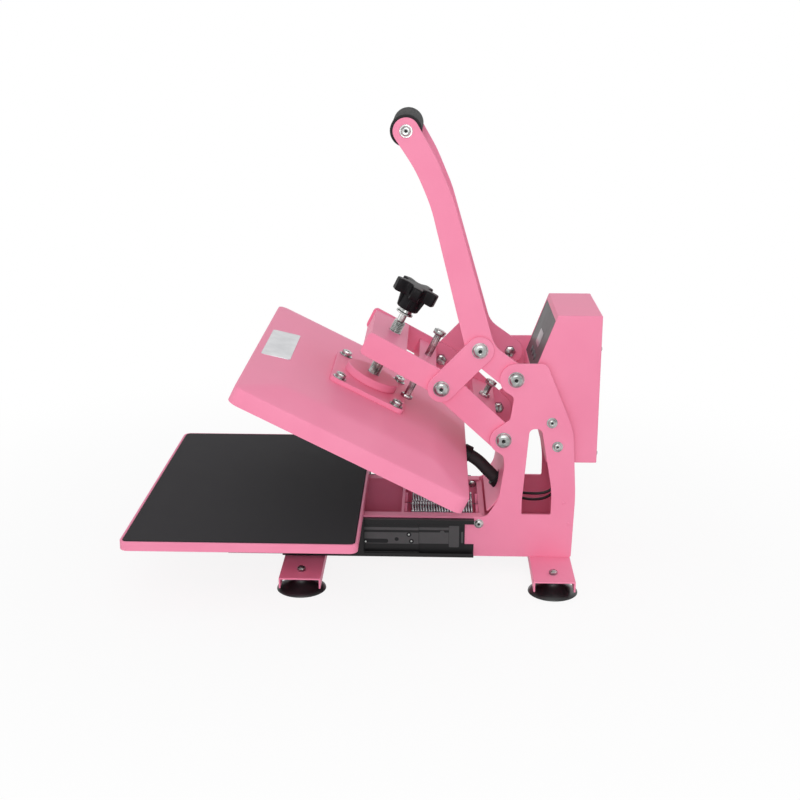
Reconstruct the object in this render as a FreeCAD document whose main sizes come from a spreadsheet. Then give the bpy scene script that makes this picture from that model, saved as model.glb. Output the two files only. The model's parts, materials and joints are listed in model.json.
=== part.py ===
import FreeCAD, Part
import math
import os

from FreeCAD import Placement, Rotation, Vector

# A clamshell heat press with a pull-out lower platen, in millimetres.
# +X is the operator's right, +Y points away from the operator, +Z is up.
# The origin is on the bench, below the middle of the press as it stands at rest:
# the drawer is pulled out and the head is fully open.

doc = FreeCAD.newDocument("FlatHeatPress")
sheet = doc.addObject("Spreadsheet::Sheet", "Sizes")
nodes = {}


class Length(float):
    """A number that keeps the expression of sheet cells that it was worked out from."""

    def __new__(cls, value, text=None):
        made = super().__new__(cls, value)
        made.text = text or f"{float(value):.9g}"
        return made

    def joined(self, other, sign, value, other_first=False):
        other_text = getattr(other, "text", f"{float(other):.9g}")
        first, second = (other_text, self.text) if other_first else (self.text, other_text)
        return Length(value, f"({first} {sign} {second})")

    def __add__(self, other):
        return self.joined(other, "+", float(self) + float(other))

    def __radd__(self, other):
        return self.joined(other, "+", float(other) + float(self), True)

    def __sub__(self, other):
        return self.joined(other, "-", float(self) - float(other))

    def __rsub__(self, other):
        return self.joined(other, "-", float(other) - float(self), True)

    def __mul__(self, other):
        return self.joined(other, "*", float(self) * float(other))

    def __rmul__(self, other):
        return self.joined(other, "*", float(other) * float(self), True)

    def __truediv__(self, other):
        return self.joined(other, "/", float(self) / float(other))

    def __neg__(self):
        return Length(-float(self), f"(0 - {self.text})")


def size(alias, value, note):
    """Writes one driving dimension into the sheet and returns it."""
    row = size.rows = size.rows + 1
    sheet.set(f"A{row}", note)
    sheet.set(f"B{row}", str(value))
    sheet.setAlias(f"B{row}", alias)
    return Length(value, f"Sizes.{alias}")


size.rows = 0

# Frame and base
plate = size("plate_thickness", 5.0, "uprights, links, arm plates and handle plates")
frame_width = size("frame_width", 220.0, "outer face to outer face of the side plates")
layer_gap = size("layer_gap", 0.5, "running gap between two plates at a pivot")
base_front = size("base_front", -150.0, "front end of the side plates")
base_rear = size("base_rear", 365.0, "rear edge of the column")
base_bottom = size("base_bottom", 33.0, "underside of the base, on the legs")
base_height = size("base_height", 75.0, "height of the base walls")
pan_sheet = size("pan_sheet", 2.5, "sheet of the base pan and column panels")
pan_lip = size("pan_lip", 15.0, "inward lip along the top of the base pan")
pan_rear = size("pan_rear", 202.0, "rear end of the walls of the base pan")
fit_gap = size("fit_gap", 0.05, "gap round a screw or pin that stays put")
column_rise = size("column_rise", 42.0, "rear corner of the column, above the base walls")
column_lean = size("column_lean", 8.0, "how far the column's rear edge leans in")
column_waist = size("column_waist", 19.5, "where the lean ends, above the head hinge")
column_shoulder = size("column_shoulder", 57.5, "shoulder of the column, from its rear edge")
throat_rise = size("throat_rise", 32.0, "narrow of the column's front, above the base walls")
throat_back = size("throat_back", 6.3, "narrow of the column's front, before the head hinge")
throat_foot = size("throat_foot", 26.8, "foot of the column's front, before the head hinge")
chest_drop = size("chest_drop", 46.0, "fullest of the column's front, below the head hinge")
chest_back = size("chest_back", 3.2, "fullest of the column's front, behind the head hinge")
collar_rise = size("collar_rise", 78.0, "upper corner of the hollow between the pivots, above the hinge")
collar_back = size("collar_back", 16.5, "upper corner of the hollow between the pivots, behind the hinge")
collar_low = size("collar_low", 37.0, "lower corner of the hollow between the pivots, above the hinge")
collar_foot = size("collar_foot", 10.5, "lower corner of the hollow between the pivots, behind the hinge")
web_foot = size("web_foot", 10.0, "foot of the front web, above the base walls")
web_top = size("web_top", 37.0, "top of the front web, below the head hinge")
window_front = size("window_front", 35.0, "front edge of the side window, behind the hinge")
window_rear = size("window_rear", 42.5, "rear edge of the side window, from the base's rear")
window_foot = size("window_foot", 5.5, "lower edge of the side window, above the base walls")
window_top = size("window_top", 21.0, "upper edge of the side window, above the hinge")

# Pivots, at rest
hinge_y = size("hinge_y", 235.8, "head hinge, from the origin")
hinge_z = size("hinge_z", 251.0, "head hinge, above the bench")
handle_y = size("handle_y", 255.0, "handle pivot, from the origin")
handle_z = size("handle_z", 360.4, "handle pivot, above the bench")
crank_y = size("crank_y", 191.8, "pivot of handle and link, from the origin")
crank_z = size("crank_z", 411.2, "pivot of handle and link, above the bench")
toggle_y = size("toggle_y", 126.0, "pivot of link and arm, from the origin")
toggle_z = size("toggle_z", 343.0, "pivot of link and arm, above the bench")
open_angle = size("open_angle", 26.53, "how far the head swings open, in degrees")
lobe = size("lobe_radius", 24.0, "round plate ends at the pivots")
column_lobe = size("column_lobe", 28.0, "top of the column, round the handle pivot")
pin_radius = size("pin_radius", 6.0, "shank of a pivot bolt")
running_fit = size("running_fit", 0.08, "radial gap of a shank or screw that turns or slides")
dome_radius = size("dome_radius", 12.5, "dome head of a pivot bolt")
dome_height = size("dome_height", 6.0, "dome head of a pivot bolt")
washer_radius = size("washer_radius", 14.0, "washer under the head of a pivot bolt")
washer_height = size("washer_height", 1.6, "washer under the head of a pivot bolt")
nut_radius = size("nut_radius", 10.5, "pivot nut, to its corners")
nut_height = size("nut_height", 9.0, "pivot nut")

# Legs and feet
leg_length = size("leg_length", 440.0, "left to right")
leg_width = size("leg_width", 72.0, "front to back")
leg_height = size("leg_height", 19.0, "top to lower edge of a leg channel")
leg_sheet = size("leg_sheet", 3.0, "sheet of a leg channel")
front_leg_y = size("front_leg_y", -114.0, "middle of the front leg")
rear_leg_y = size("rear_leg_y", 323.5, "middle of the rear leg")
foot_spacing = size("foot_spacing", 370.0, "left foot to right foot")
foot_radius = size("foot_radius", 43.0, "suction foot at the bench")
stud_radius = size("stud_radius", 4.0, "stud of a suction foot and small bolts")
small_head = size("small_head_radius", 7.5, "head or nut of a small bolt, to its corners")
small_head_height = size("small_head_height", 6.0, "head or nut of a small bolt")

# Drawer
tray_width = size("tray_width", 600.0, "lower platen, left to right")
tray_depth = size("tray_depth", 394.5, "lower platen, front to back")
tray_front = size("tray_front", -403.5, "front edge with the drawer pulled out")
tray_bottom = size("tray_bottom", 112.5, "lower edge of the tray's skirt")
tray_height = size("tray_height", 16.0, "outer height of the tray")
tray_sheet = size("tray_sheet", 3.0, "sheet of the tray")
tray_corner = size("tray_corner", 14.0, "corner radius of the tray in plan")
tray_rim = size("tray_rim", 4.5, "painted rim that shows round the pad")
pad_depth = size("pad_depth", 8.0, "thickness of the silicone pad")
pad_proud = size("pad_proud", 1.0, "how far the pad stands above the rim")
pad_gap = size("pad_gap", 0.4, "gap between the pad and the rim")
bracket_sheet = size("bracket_sheet", 3.0, "sheet of the tray brackets")
bracket_flange = size("bracket_flange", 24.0, "flange of a tray bracket under the tray")
bracket_drop = size("bracket_drop", 67.0, "height of a tray bracket")
bracket_gap = size("bracket_gap", 7.5, "bracket, outside the lips of the slide")

# Slides
slide_height = size("slide_height", 70.0, "height of a drawer slide")
slide_bottom = size("slide_bottom", 35.0, "underside of a drawer slide")
slide_length = size("slide_length", 341.0, "length of each slide member")
slide_front = size("slide_front", -154.0, "front end of the fixed member")
slide_sheet = size("slide_sheet", 1.8, "sheet of a slide member")
slide_depth = size("slide_depth", 13.0, "depth of the fixed member")
slide_gap = size("slide_gap", 0.3, "running gap between two slide members")
slide_lip = size("slide_lip", 7.0, "lips that keep the next member in")
slide_recess = size("slide_recess", 16.0, "how far the fixed web ends before its flanges")
slot_place = size("slot_place", 255.0, "slot in the fixed member, from its front")
slot_length = size("slot_length", 26.0, "slot in the fixed member")
slot_height = size("slot_height", 9.0, "slot in the fixed member")
slot_drop = size("slot_drop", 40.0, "lower edge of the slot, below the base walls' top")
screw_place = size("screw_place", 40.0, "front screw of a slide, from its front")
screw_drop = size("screw_drop", 12.5, "screws of the base walls, below the walls' top")
drawer_travel = size("drawer_travel", 195.0, "from pulled out to pushed in")

# Head, measured with the head closed, from the head hinge
head_middle = size("head_middle", -247.9, "middle of the head, with its screw")
head_rim = size("head_rim", -90.6, "lower rim of the cover")
rim_height = size("rim_height", 28.0, "upright part of the cover")
cover_height = size("cover_height", 45.0, "rim to flat top of the cover")
cover_bevel = size("cover_bevel", 70.0, "width of the sloping border of the cover")
cover_sheet = size("cover_sheet", 2.0, "sheet of the cover")
cover_corner = size("cover_corner", 18.0, "corner radius of the cover in plan")
platen_width = size("platen_width", 600.0, "heated platen, left to right")
platen_depth = size("platen_depth", 398.0, "heated platen, front to back")
platen_height = size("platen_height", 14.0, "heated platen")
platen_side_gap = size("platen_side_gap", 11.0, "platen to the cover, at its sides")
platen_end_gap = size("platen_end_gap", 8.4, "platen to the cover, at its front and rear")
platen_proud = size("platen_proud", 2.0, "how far the platen stands below the rim")
blanket_height = size("blanket_height", 12.0, "insulation on the platen")
blanket_inset = size("blanket_inset", 10.0, "insulation inside the platen's edge")
mount_width = size("mount_width", 186.0, "mounting plate, left to right")
mount_depth = size("mount_depth", 142.0, "mounting plate, front to back")
mount_height = size("mount_height", 8.6, "mounting plate")
mount_corner = size("mount_corner", 10.0, "corners of the mounting plate, in plan")
mount_bolts_x = size("mount_bolts_x", 162.0, "mounting bolts, left to right")
mount_bolts_y = size("mount_bolts_y", 110.0, "mounting bolts, front to back")
thrust_radius = size("thrust_radius", 50.0, "thrust ring of the pressure screw")
thrust_height = size("thrust_height", 15.0, "thrust ring of the pressure screw")
label_width = size("label_width", 185.0, "blank plate on the front of the cover")
label_height = size("label_height", 52.0, "blank plate on the front of the cover")
label_x = size("label_x", -8.0, "middle of the blank plate")
label_y = size("label_y", 3.0, "blank plate above the middle of the slope")
label_sheet = size("label_sheet", 0.8, "thickness of the blank plate")

# Pressure screw and knob
screw_radius = size("screw_radius", 11.0, "thread of the pressure screw")
screw_end_gap = size("screw_end_gap", 0.1, "end of the screw above the mounting plate")
neck_radius = size("neck_radius", 7.0, "turned neck of the pressure screw")
neck_bottom = size("neck_bottom", 86.0, "start of the neck above the hinge")
knob_radius = size("knob_radius", 41.0, "knob, over its lobes")
knob_core = size("knob_core", 24.0, "knob, between its lobes")
lobe_radius = size("knob_lobe_radius", 9.5, "each lobe of the knob")
knob_lobes = size("knob_lobes", 5, "lobes of the knob")
knob_top = size("knob_top", 158.0, "top of the knob above the hinge")
knob_height = size("knob_height", 23.0, "lobes of the knob")
hub_height = size("hub_height", 24.5, "hub below the lobes")
hub_radius = size("hub_radius", 21.0, "hub below the lobes")
collar_radius = size("collar_radius", 16.0, "steel collar under the hub")
collar_height = size("collar_height", 10.0, "steel collar under the hub")

# Arm, measured with the head closed, from the head hinge
block_front = size("block_front", -290.0, "front of the screw block")
block_depth = size("block_depth", 68.0, "screw block, front to back")
block_bottom = size("block_bottom", 25.0, "underside of the screw block")
block_height = size("block_height", 39.0, "screw block")
block_wall = size("block_wall", 5.0, "wall of the screw block")
boss_radius = size("boss_radius", 20.0, "threaded boss in the screw block")
guide_place = size("guide_place", -175.3, "guide bolt, behind the pressure screw")
guide_radius = size("guide_radius", 6.5, "shank of the guide bolt")
guide_bottom = size("guide_bottom", 27.0, "underside of the guide bar")
guide_height = size("guide_height", 24.7, "height of the guide bar")
guide_depth = size("guide_depth", 34.0, "guide bar, front to back")
guide_head = size("guide_head", 93.5, "underside of the head of the guide bolt")
stop_place = size("stop_place", -50.5, "stop bolt on the arm")
stop_bottom = size("stop_bottom", 19.0, "underside of the stop bar")
stop_height = size("stop_height", 11.0, "height of the stop bar")
stop_depth = size("stop_depth", 44.0, "stop bar, front to back")
stop_radius = size("stop_radius", 6.0, "shank of the stop bolt")
stop_rise = size("stop_rise", 24.0, "head of the stop bolt above its bar")

# Spring lever, at rest
lever_front = size("lever_front", 197.0, "front face of the bar that the springs pull")
lever_depth = size("lever_depth", 10.0, "thickness of the bar that the springs pull")
lever_bottom = size("lever_bottom", 68.0, "underside of the spring lever")
lever_height = size("lever_height", 38.0, "height of the spring lever under the column front")
lever_gap = size("lever_gap", 1.5, "tips of the lever's legs, behind the pan's walls")
lever_heel = size("lever_heel", 268.0, "rear edge of the lever's legs")
lever_leg = size("lever_leg", 26.0, "width of the lever's legs")

# Handle
grip_y = size("grip_y", 62.8, "middle of the grip, from the origin")
grip_z = size("grip_z", 779.8, "middle of the grip, above the bench")
grip_radius = size("grip_radius", 27.0, "soft grip")
stem_half = size("stem_half", 19.7, "half the width of the handle stem")
stem_end = size("stem_end_radius", 22.0, "round ends of the handle plates")
stem_knee_y = size("stem_knee_y", 124.0, "lower bend of the handle, from the origin")
stem_knee_z = size("stem_knee_z", 662.0, "lower bend of the handle, above the bench")
stem_bend_y = size("stem_bend_y", 97.0, "upper bend of the handle, from the origin")
stem_bend_z = size("stem_bend_z", 725.0, "upper bend of the handle, above the bench")
rod_radius = size("rod_radius", 8.0, "steel rod inside the grip")

# Return springs
spring_x = size("spring_x", 28.0, "each spring, from the middle")
spring_z = size("spring_z", 87.0, "axis of the springs above the bench")
spring_anchor_y = size("spring_anchor_y", 57.0, "front face of the spring anchor")
anchor_depth = size("anchor_depth", 5.0, "thickness of the spring anchor")
plug_radius = size("plug_radius", 13.5, "plug in each end of a spring")
plug_length = size("plug_length", 5.0, "plug in each end of a spring")
spring_turns = size("spring_turns", 23, "turns of each spring")
spring_wire = size("spring_wire", 1.6, "radius of the spring wire")
spring_radius = size("spring_radius", 15.0, "middle of the wire from the spring's axis")

# Control box
box_width = size("box_width", 197.0, "left to right, between the arm plates")
box_rear = size("box_rear", 400.5, "rear face")
box_bottom = size("box_bottom", 207.5, "underside")
box_top = size("box_top", 471.5, "top")
box_top_front = size("box_top_front", 324.0, "front edge of the top")
box_knee_y = size("box_knee_y", 283.0, "front face below the panel")
box_knee_z = size("box_knee_z", 362.0, "lower edge of the sloping front")
box_chin_y = size("box_chin_y", 311.5, "front face at the level of the side windows")
box_chin_z = size("box_chin_z", 273.0, "where the lower front face begins, above the bench")
box_chin_rise = size("box_chin_rise", 26.0, "height of the slope above the lower front face")
box_sheet = size("box_sheet", 1.6, "sheet of the box")
panel_side = size("panel_side", 3.0, "painted border beside the control panel")
panel_head = size("panel_head", 11.0, "painted strip above the control panel")
panel_height = size("panel_height", 103.0, "control panel, along the slope")
panel_sheet = size("panel_sheet", 2.0, "control panel")
panel_recess = size("panel_recess", 1.0, "panel below the face of the box")
display_width = size("display_width", 50.0, "display window")
display_height = size("display_height", 27.0, "display window")
display_proud = size("display_proud", 0.6, "display window above the panel")
button_radius = size("button_radius", 6.0, "buttons on the panel")
upper_screw_inset = size("upper_screw_inset", 45.8, "upper screw of the box, from the base's rear")
upper_screw_rise = size("upper_screw_rise", 32.7, "upper screw of the box, above the head hinge")
lower_screw_inset = size("lower_screw_inset", 34.8, "lower screw of the box, from the base's rear")
lower_screw_drop = size("lower_screw_drop", 10.7, "lower screw of the box, below the head hinge")
button_pitch = size("button_pitch", 30.0, "button to button")
button_gap = size("button_gap", 0.3, "gap round a button")
button_rise = size("button_rise", 2.4, "buttons above the panel")
button_travel = size("button_travel", 1.2, "how far a button goes in")
board_gap = size("board_gap", 6.0, "circuit board below the panel")
board_sheet = size("board_sheet", 1.6, "circuit board")

# Inlet and power switch on the rear of the box
socket_width = size("socket_width", 28.0, "power inlet")
socket_height = size("socket_height", 22.0, "power inlet")
socket_flange = size("socket_flange", 3.0, "flange of the inlet behind the box")
socket_x = size("socket_x", -45.0, "middle of the inlet")
socket_z = size("socket_z", 245.0, "middle of the inlet")
rocker_x = size("rocker_x", 45.0, "middle of the power switch")
rocker_width = size("rocker_width", 13.0, "rocker of the power switch")
rocker_height = size("rocker_height", 24.0, "rocker of the power switch")

# Cables
cable_x = size("cable_x", 22.0, "sleeved cable, from the middle")
exit_depth = size("exit_depth", 1.5, "cable's entry, behind the narrow of the column's front")
exit_rise = size("exit_rise", 7.6, "cable's entry, above the narrow of the column's front")
cable_dip = size("cable_dip", 45.0, "how steeply the cable enters the column, in degrees")
cable_radius = size("cable_radius", 11.5, "sleeved cable to the head")
gland_wall = size("gland_wall", 4.0, "wall of the cable glands")
gland_length = size("gland_length", 14.0, "length of the cable glands")
lead_radius = size("lead_radius", 2.5, "each thin lead in the column")

head_width = platen_width + (platen_side_gap + cover_sheet) * 2
head_depth = platen_depth + (platen_end_gap + cover_sheet) * 2
half = frame_width / 2
inner_face = half - plate
arm_face = inner_face - layer_gap
arm_inner = arm_face - plate
base_top = base_bottom + base_height
tray_top = tray_bottom + tray_height
pad_top = tray_top + pad_proud
cover_top = head_rim + cover_height
mount_top = cover_top + mount_height
thrust_top = mount_top + thrust_height
block_top = block_bottom + block_height
hub_bottom = knob_top - knob_height - hub_height
collar_bottom = hub_bottom - collar_height

HINGE = (0.0, 0.0)
HANDLE_PIVOT = (handle_y, handle_z)
CRANK_PIVOT = (crank_y, crank_z)
TOGGLE_PIVOT = (toggle_y, toggle_z)
HEAD_PLACE = Placement(Vector(0, hinge_y, hinge_z), Rotation(Vector(1, 0, 0), -float(open_angle)))


def turned(point, degrees):
    """A point of the YZ plane turned about the origin; a positive turn lowers the front."""
    angle = math.radians(degrees)
    y, z = point
    return (y * math.cos(angle) - z * math.sin(angle), y * math.sin(angle) + z * math.cos(angle))


def from_hinge(y, z):
    """A point at rest, as it lies from the head hinge when the head is closed."""
    return turned((y - hinge_y, z - hinge_z), open_angle)


def node(name, feature, place=None):
    """Names a finished sub-part and puts it in its place."""
    feature.Label = name
    if place is not None:
        feature.Placement = place
    nodes[name] = feature
    return feature


def bind(feature, prop, value):
    """Binds a property to the sheet."""
    feature.setExpression(prop, getattr(value, "text", f"{float(value):.9g}"))


def set_down(feature, x, y, z, turn=Rotation()):
    """Gives a primitive its place, bound to the sheet."""
    feature.Placement = Placement(Vector(), turn)
    bind(feature, "Placement.Base.x", x)
    bind(feature, "Placement.Base.y", y)
    bind(feature, "Placement.Base.z", z)


TURN = {
    "x": Rotation(Vector(0, 1, 0), 90),
    "y": Rotation(Vector(1, 0, 0), -90),
    "z": Rotation(),
}


def box(name, x, y, z, length, width, height):
    """A box from its low corner."""
    feature = doc.addObject("Part::Box", name)
    set_down(feature, x, y, z)
    bind(feature, "Length", length)
    bind(feature, "Width", width)
    bind(feature, "Height", height)
    return feature


def middle_box(name, x, y, z, length, width, height):
    """A box about a middle point in plan, from its underside."""
    return box(name, x - length / 2, y - width / 2, z, length, width, height)


def rod(name, axis, x, y, z, radius, length):
    """A cylinder that starts at a point and runs along a row axis."""
    feature = doc.addObject("Part::Cylinder", name)
    set_down(feature, x, y, z, TURN[axis])
    bind(feature, "Radius", radius)
    bind(feature, "Height", length)
    return feature


def hexagon(name, axis, x, y, z, radius, length):
    """A nut or a bolt head along a row axis."""
    feature = doc.addObject("Part::Prism", name)
    feature.Polygon = 6
    set_down(feature, x, y, z, TURN[axis])
    bind(feature, "Circumradius", radius)
    bind(feature, "Height", length)
    return feature


def fuse(name, parts):
    feature = doc.addObject("Part::MultiFuse", name)
    feature.Shapes = parts
    return feature


def cut(name, base, tools):
    feature = doc.addObject("Part::Cut", name)
    feature.Base = base
    feature.Tool = tools[0] if len(tools) == 1 else fuse(name + "_tools", tools)
    return feature


def group(name, parts):
    """Separate solids that share one node."""
    feature = doc.addObject("Part::Compound", name)
    feature.Links = parts
    return feature


def made(name, shape):
    """A sub-part whose shape needs Part's own functions."""
    feature = doc.addObject("Part::Feature", name)
    feature.Shape = shape
    return feature


def outline(*items):
    """Edges round a closed outline, anticlockwise. (y, z) is a corner, (y, z, r) is a
    corner rounded to r, and (y, z, r, "about") is an arc of radius r about (y, z)."""
    count = len(items)
    centres = [Vector(i[0], i[1], 0) for i in items]
    radii = [float(i[2]) if len(i) == 4 else 0.0 for i in items]
    leave = [None] * count
    reach = [None] * count
    normals = [None] * count
    for k in range(count):
        n = (k + 1) % count
        way = centres[n] - centres[k]
        along = way / way.Length
        side = Vector(along.y, -along.x, 0)
        slant = (radii[k] - radii[n]) / way.Length
        normals[k] = side * math.sqrt(1 - slant * slant) + along * slant
        leave[k] = centres[k] + normals[k] * radii[k]
        reach[n] = centres[n] + normals[k] * radii[n]
    arcs = []
    for k, item in enumerate(items):
        before = normals[k - 1]
        after = normals[k]
        turn = math.atan2(before.x * after.y - before.y * after.x, before.dot(after))
        if len(item) == 4:
            if radii[k] > 0 > turn:
                turn += 2 * math.pi
            middle = Rotation(Vector(0, 0, 1), math.degrees(turn / 2)).multVec(before)
            arcs.append((reach[k], centres[k] + middle * radii[k], leave[k]))
        elif len(item) == 3:
            trim = item[2] * abs(math.tan(turn / 2))
            coming = Vector(-before.y, before.x, 0)
            going = Vector(-after.y, after.x, 0)
            start = centres[k] - coming * trim
            end = centres[k] + going * trim
            bisector = (going - coming) / (going - coming).Length
            middle = centres[k] + bisector * (item[2] / math.cos(turn / 2) - item[2])
            arcs.append((start, middle, end))
        else:
            arcs.append((centres[k],))
    edges = []
    for k, arc in enumerate(arcs):
        if len(arc) == 3:
            edges.append(arc)
        edges.append((arc[-1], arcs[(k + 1) % count][0]))
    return edges


def circle(point, radius):
    """A round hole in a sketch."""
    return (Vector(point[0], point[1], 0), float(radius))


def sketched_body(name, role, outlines, length):
    """A body made as one pad of a sketch on one of its own planes."""
    body = doc.addObject("PartDesign::Body", name)
    sketch = body.newObject("Sketcher::SketchObject", name + "_outline")
    plane = next(f for f in body.Origin.OriginFeatures if f.Role == role)
    sketch.AttachmentSupport = [(plane, "")]
    sketch.MapMode = "FlatFace"
    for part in outlines:
        if isinstance(part, tuple):
            sketch.addGeometry(Part.Circle(part[0], Vector(0, 0, 1), part[1]))
            continue
        for edge in part:
            if len(edge) == 2:
                sketch.addGeometry(Part.LineSegment(*edge))
            else:
                sketch.addGeometry(Part.Arc(*edge))
    pad = body.newObject("PartDesign::Pad", name + "_pad")
    pad.Profile = sketch
    bind(pad, "Length", length)
    return body


def pair_of_plates(name, outlines, inner, place=Placement()):
    """A right and a left plate of one outline, whose inner faces lie at +inner and -inner."""
    for side, start in (("right", inner), ("left", -inner - plate)):
        body = sketched_body(f"{name}_{side}", "YZ_Plane", outlines, plate)
        node(f"{name}_{side}", body, place.multiply(Placement(Vector(start, 0, 0), Rotation())))


def solid_of(edges, low, high):
    """A prism between two heights on an outline in the XY plane."""
    shapes = []
    for edge in edges:
        points = [point + Vector(0, 0, low) for point in edge]
        curve = Part.LineSegment(*points) if len(points) == 2 else Part.Arc(*points)
        shapes.append(curve.toShape())
    return Part.Face(Part.Wire(shapes)).extrude(Vector(0, 0, high - low))


def wire_of(edges, height):
    """The outline as a wire at one height."""
    shapes = []
    for edge in edges:
        points = [point + Vector(0, 0, height) for point in edge]
        curve = Part.LineSegment(*points) if len(points) == 2 else Part.Arc(*points)
        shapes.append(curve.toShape())
    return Part.Wire(shapes)


def rounded_rectangle(middle_y, width, depth, radius):
    """Outline in plan of a rectangle with round corners, in the middle from left to right."""
    w = width / 2
    d = depth / 2
    return outline(
        (-w, middle_y - d, radius),
        (w, middle_y - d, radius),
        (w, middle_y + d, radius),
        (-w, middle_y + d, radius),
    )


def revolved(points, place):
    """A solid of revolution about an upright axis, from (radius, height) points."""
    path = [place + Vector(radius, 0, height) for radius, height in points]
    return Part.Face(Part.makePolygon(path + path[:1])).revolve(place, Vector(0, 0, 1), 360)


def tube_along(points, radius, name):
    """A cable along straight runs joined by tangent arcs."""
    edges = []
    last = points[0]
    smallest = 1000.0
    for before, corner, after in zip(points, points[1:], points[2:]):
        coming = corner - before
        going = after - corner
        turn = coming.getAngle(going)
        bend = 0.45 * min(coming.Length, going.Length) / math.tan(turn / 2)
        smallest = min(smallest, bend)
        trim = bend * math.tan(turn / 2)
        start = corner - coming / coming.Length * trim
        end = corner + going / going.Length * trim
        inward = going / going.Length - coming / coming.Length
        middle = corner + inward / inward.Length * (bend / math.cos(turn / 2) - bend)
        edges.append(Part.LineSegment(last, start).toShape())
        edges.append(Part.Arc(start, middle, end).toShape())
        last = end
    edges.append(Part.LineSegment(last, points[-1]).toShape())
    path = Part.Wire(edges)
    ring = Part.Wire(Part.Circle(points[0], points[1] - points[0], float(radius)).toShape())
    tube = path.makePipeShell([ring], True, False)
    ratio = tube.Volume / (math.pi * radius * radius * path.Length)
    print(f"{name}: length {path.Length:.1f}, least bend {smallest:.1f}, volume ratio {ratio:.4f}")
    if abs(ratio - 1) > 0.01:
        raise RuntimeError(f"{name} has the wrong volume")
    return tube

# Base: pan, side plates and column panels
pan_length = pan_rear - base_front
pan_outer = box("pan_outer", -inner_face, base_front, base_bottom, inner_face * 2, pan_length, base_height)
pan_inner = box(
    "pan_inner",
    -inner_face + pan_sheet,
    base_front + pan_sheet,
    base_bottom + pan_sheet,
    (inner_face - pan_sheet) * 2,
    pan_length,
    base_height - pan_sheet * 2,
)
pan_mouth = box(
    "pan_mouth",
    -inner_face + pan_lip,
    base_front + pan_lip,
    base_bottom + pan_sheet * 2,
    (inner_face - pan_lip) * 2,
    pan_length,
    base_height,
)
pan_holes = []
for place_y in (front_leg_y, rear_leg_y):
    pan_holes.append(
        rod("pan_hole", "z", 0, place_y, base_bottom - 1, stud_radius + fit_gap, pan_sheet + 2)
    )
for place_y in (slide_front + 40, pan_rear - 12.5):
    pan_holes.append(
        rod("pan_side_hole", "x", -half, place_y, base_top - 12.5, stud_radius + fit_gap, half * 2)
    )
pan_shell = cut("pan_shell", pan_outer, [pan_inner, pan_mouth])
column_floor = box(
    "column_floor",
    -inner_face,
    pan_rear,
    base_bottom,
    inner_face * 2,
    base_rear - 12 - pan_rear,
    pan_sheet,
)
node("base_pan", cut("base_pan_cut", fuse("base_pan_solid", [pan_shell, column_floor]), pan_holes))

SIDE_SCREWS = [
    (slide_front + screw_place, base_top - screw_drop),
    (pan_rear - screw_drop, base_top - screw_drop),
]
BOX_SCREWS = [
    (base_rear - upper_screw_inset, hinge_z + upper_screw_rise),
    (base_rear - lower_screw_inset, hinge_z - lower_screw_drop),
]
throat_y = hinge_y - throat_back
throat_z = base_top + throat_rise
chest_y = hinge_y + chest_back
chest_z = hinge_z - chest_drop
foot_y = hinge_y - throat_foot
side_outline = outline(
    (base_front, base_bottom, 2),
    (base_rear - 4, base_bottom, 4),
    (base_rear, base_top + column_rise, 500),
    (base_rear - column_lean, hinge_z + column_waist, 120),
    (base_rear - column_shoulder, handle_z + column_lobe + 0.5, 13),
    (handle_y, handle_z, column_lobe, "about"),
    (hinge_y + collar_back, hinge_z + collar_rise, 9),
    (hinge_y + collar_foot, hinge_z + collar_low, 9),
    (hinge_y, hinge_z, lobe, "about"),
    (hinge_y + 0.2, hinge_z - lobe - 5, 10),
    (chest_y, chest_z, 60),
    (throat_y, throat_z, 50),
    (foot_y, base_top, 14),
    (base_front, base_top, 2),
)
window_y = hinge_y + window_front
window_low = base_top + window_foot
window_high = hinge_z + window_top
window_outline = outline(
    (window_y, window_low, 3),
    (base_rear - window_rear, window_low, 3),
    (base_rear - window_rear, window_low + 46.5, 200),
    (window_y + 31.2, window_high, 10),
    (window_y + 10.2, window_high, 10),
    (window_y, window_low + 26.5, 200),
)
side_holes = [
    circle((hinge_y, hinge_z), pin_radius + running_fit),
    circle(HANDLE_PIVOT, pin_radius + running_fit),
]
for point in SIDE_SCREWS + BOX_SCREWS:
    side_holes.append(circle(point, stud_radius + fit_gap))
pair_of_plates("side_plate", [side_outline, window_outline] + side_holes, inner_face)

CABLE_EXIT = Vector(float(cable_x), float(throat_y + exit_depth), float(throat_z + exit_rise))
GLAND_TURN = Rotation(Vector(1, 0, 0), -90 - cable_dip)
web_low = base_top + web_foot
web_high = hinge_z - web_top
web_outline = outline(
    (foot_y, web_low, 0.1),
    (foot_y + pan_sheet, web_low, 0.1),
    (throat_y + pan_sheet + 0.3, throat_z, 50),
    (chest_y + pan_sheet - 0.5, chest_z - 1, 60),
    (chest_y + pan_sheet - 1.9, web_high, 0.1),
    (chest_y - 1.9, web_high, 0.1),
    (chest_y - 0.5, chest_z - 1, 60),
    (throat_y + 0.3, throat_z, 50),
)
web_body = sketched_body("front_web_sheet", "YZ_Plane", [web_outline], inner_face * 2)
web_body.Placement = Placement(Vector(-float(inner_face), 0, 0), Rotation())


def gland_rod(name, radius, before, length):
    """A cylinder along the cable where it enters the column."""
    start = CABLE_EXIT - GLAND_TURN.multVec(Vector(0, 0, before))
    feature = doc.addObject("Part::Cylinder", name)
    set_down(feature, start.x, start.y, start.z, GLAND_TURN)
    bind(feature, "Radius", radius)
    bind(feature, "Height", length)
    return feature


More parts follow.
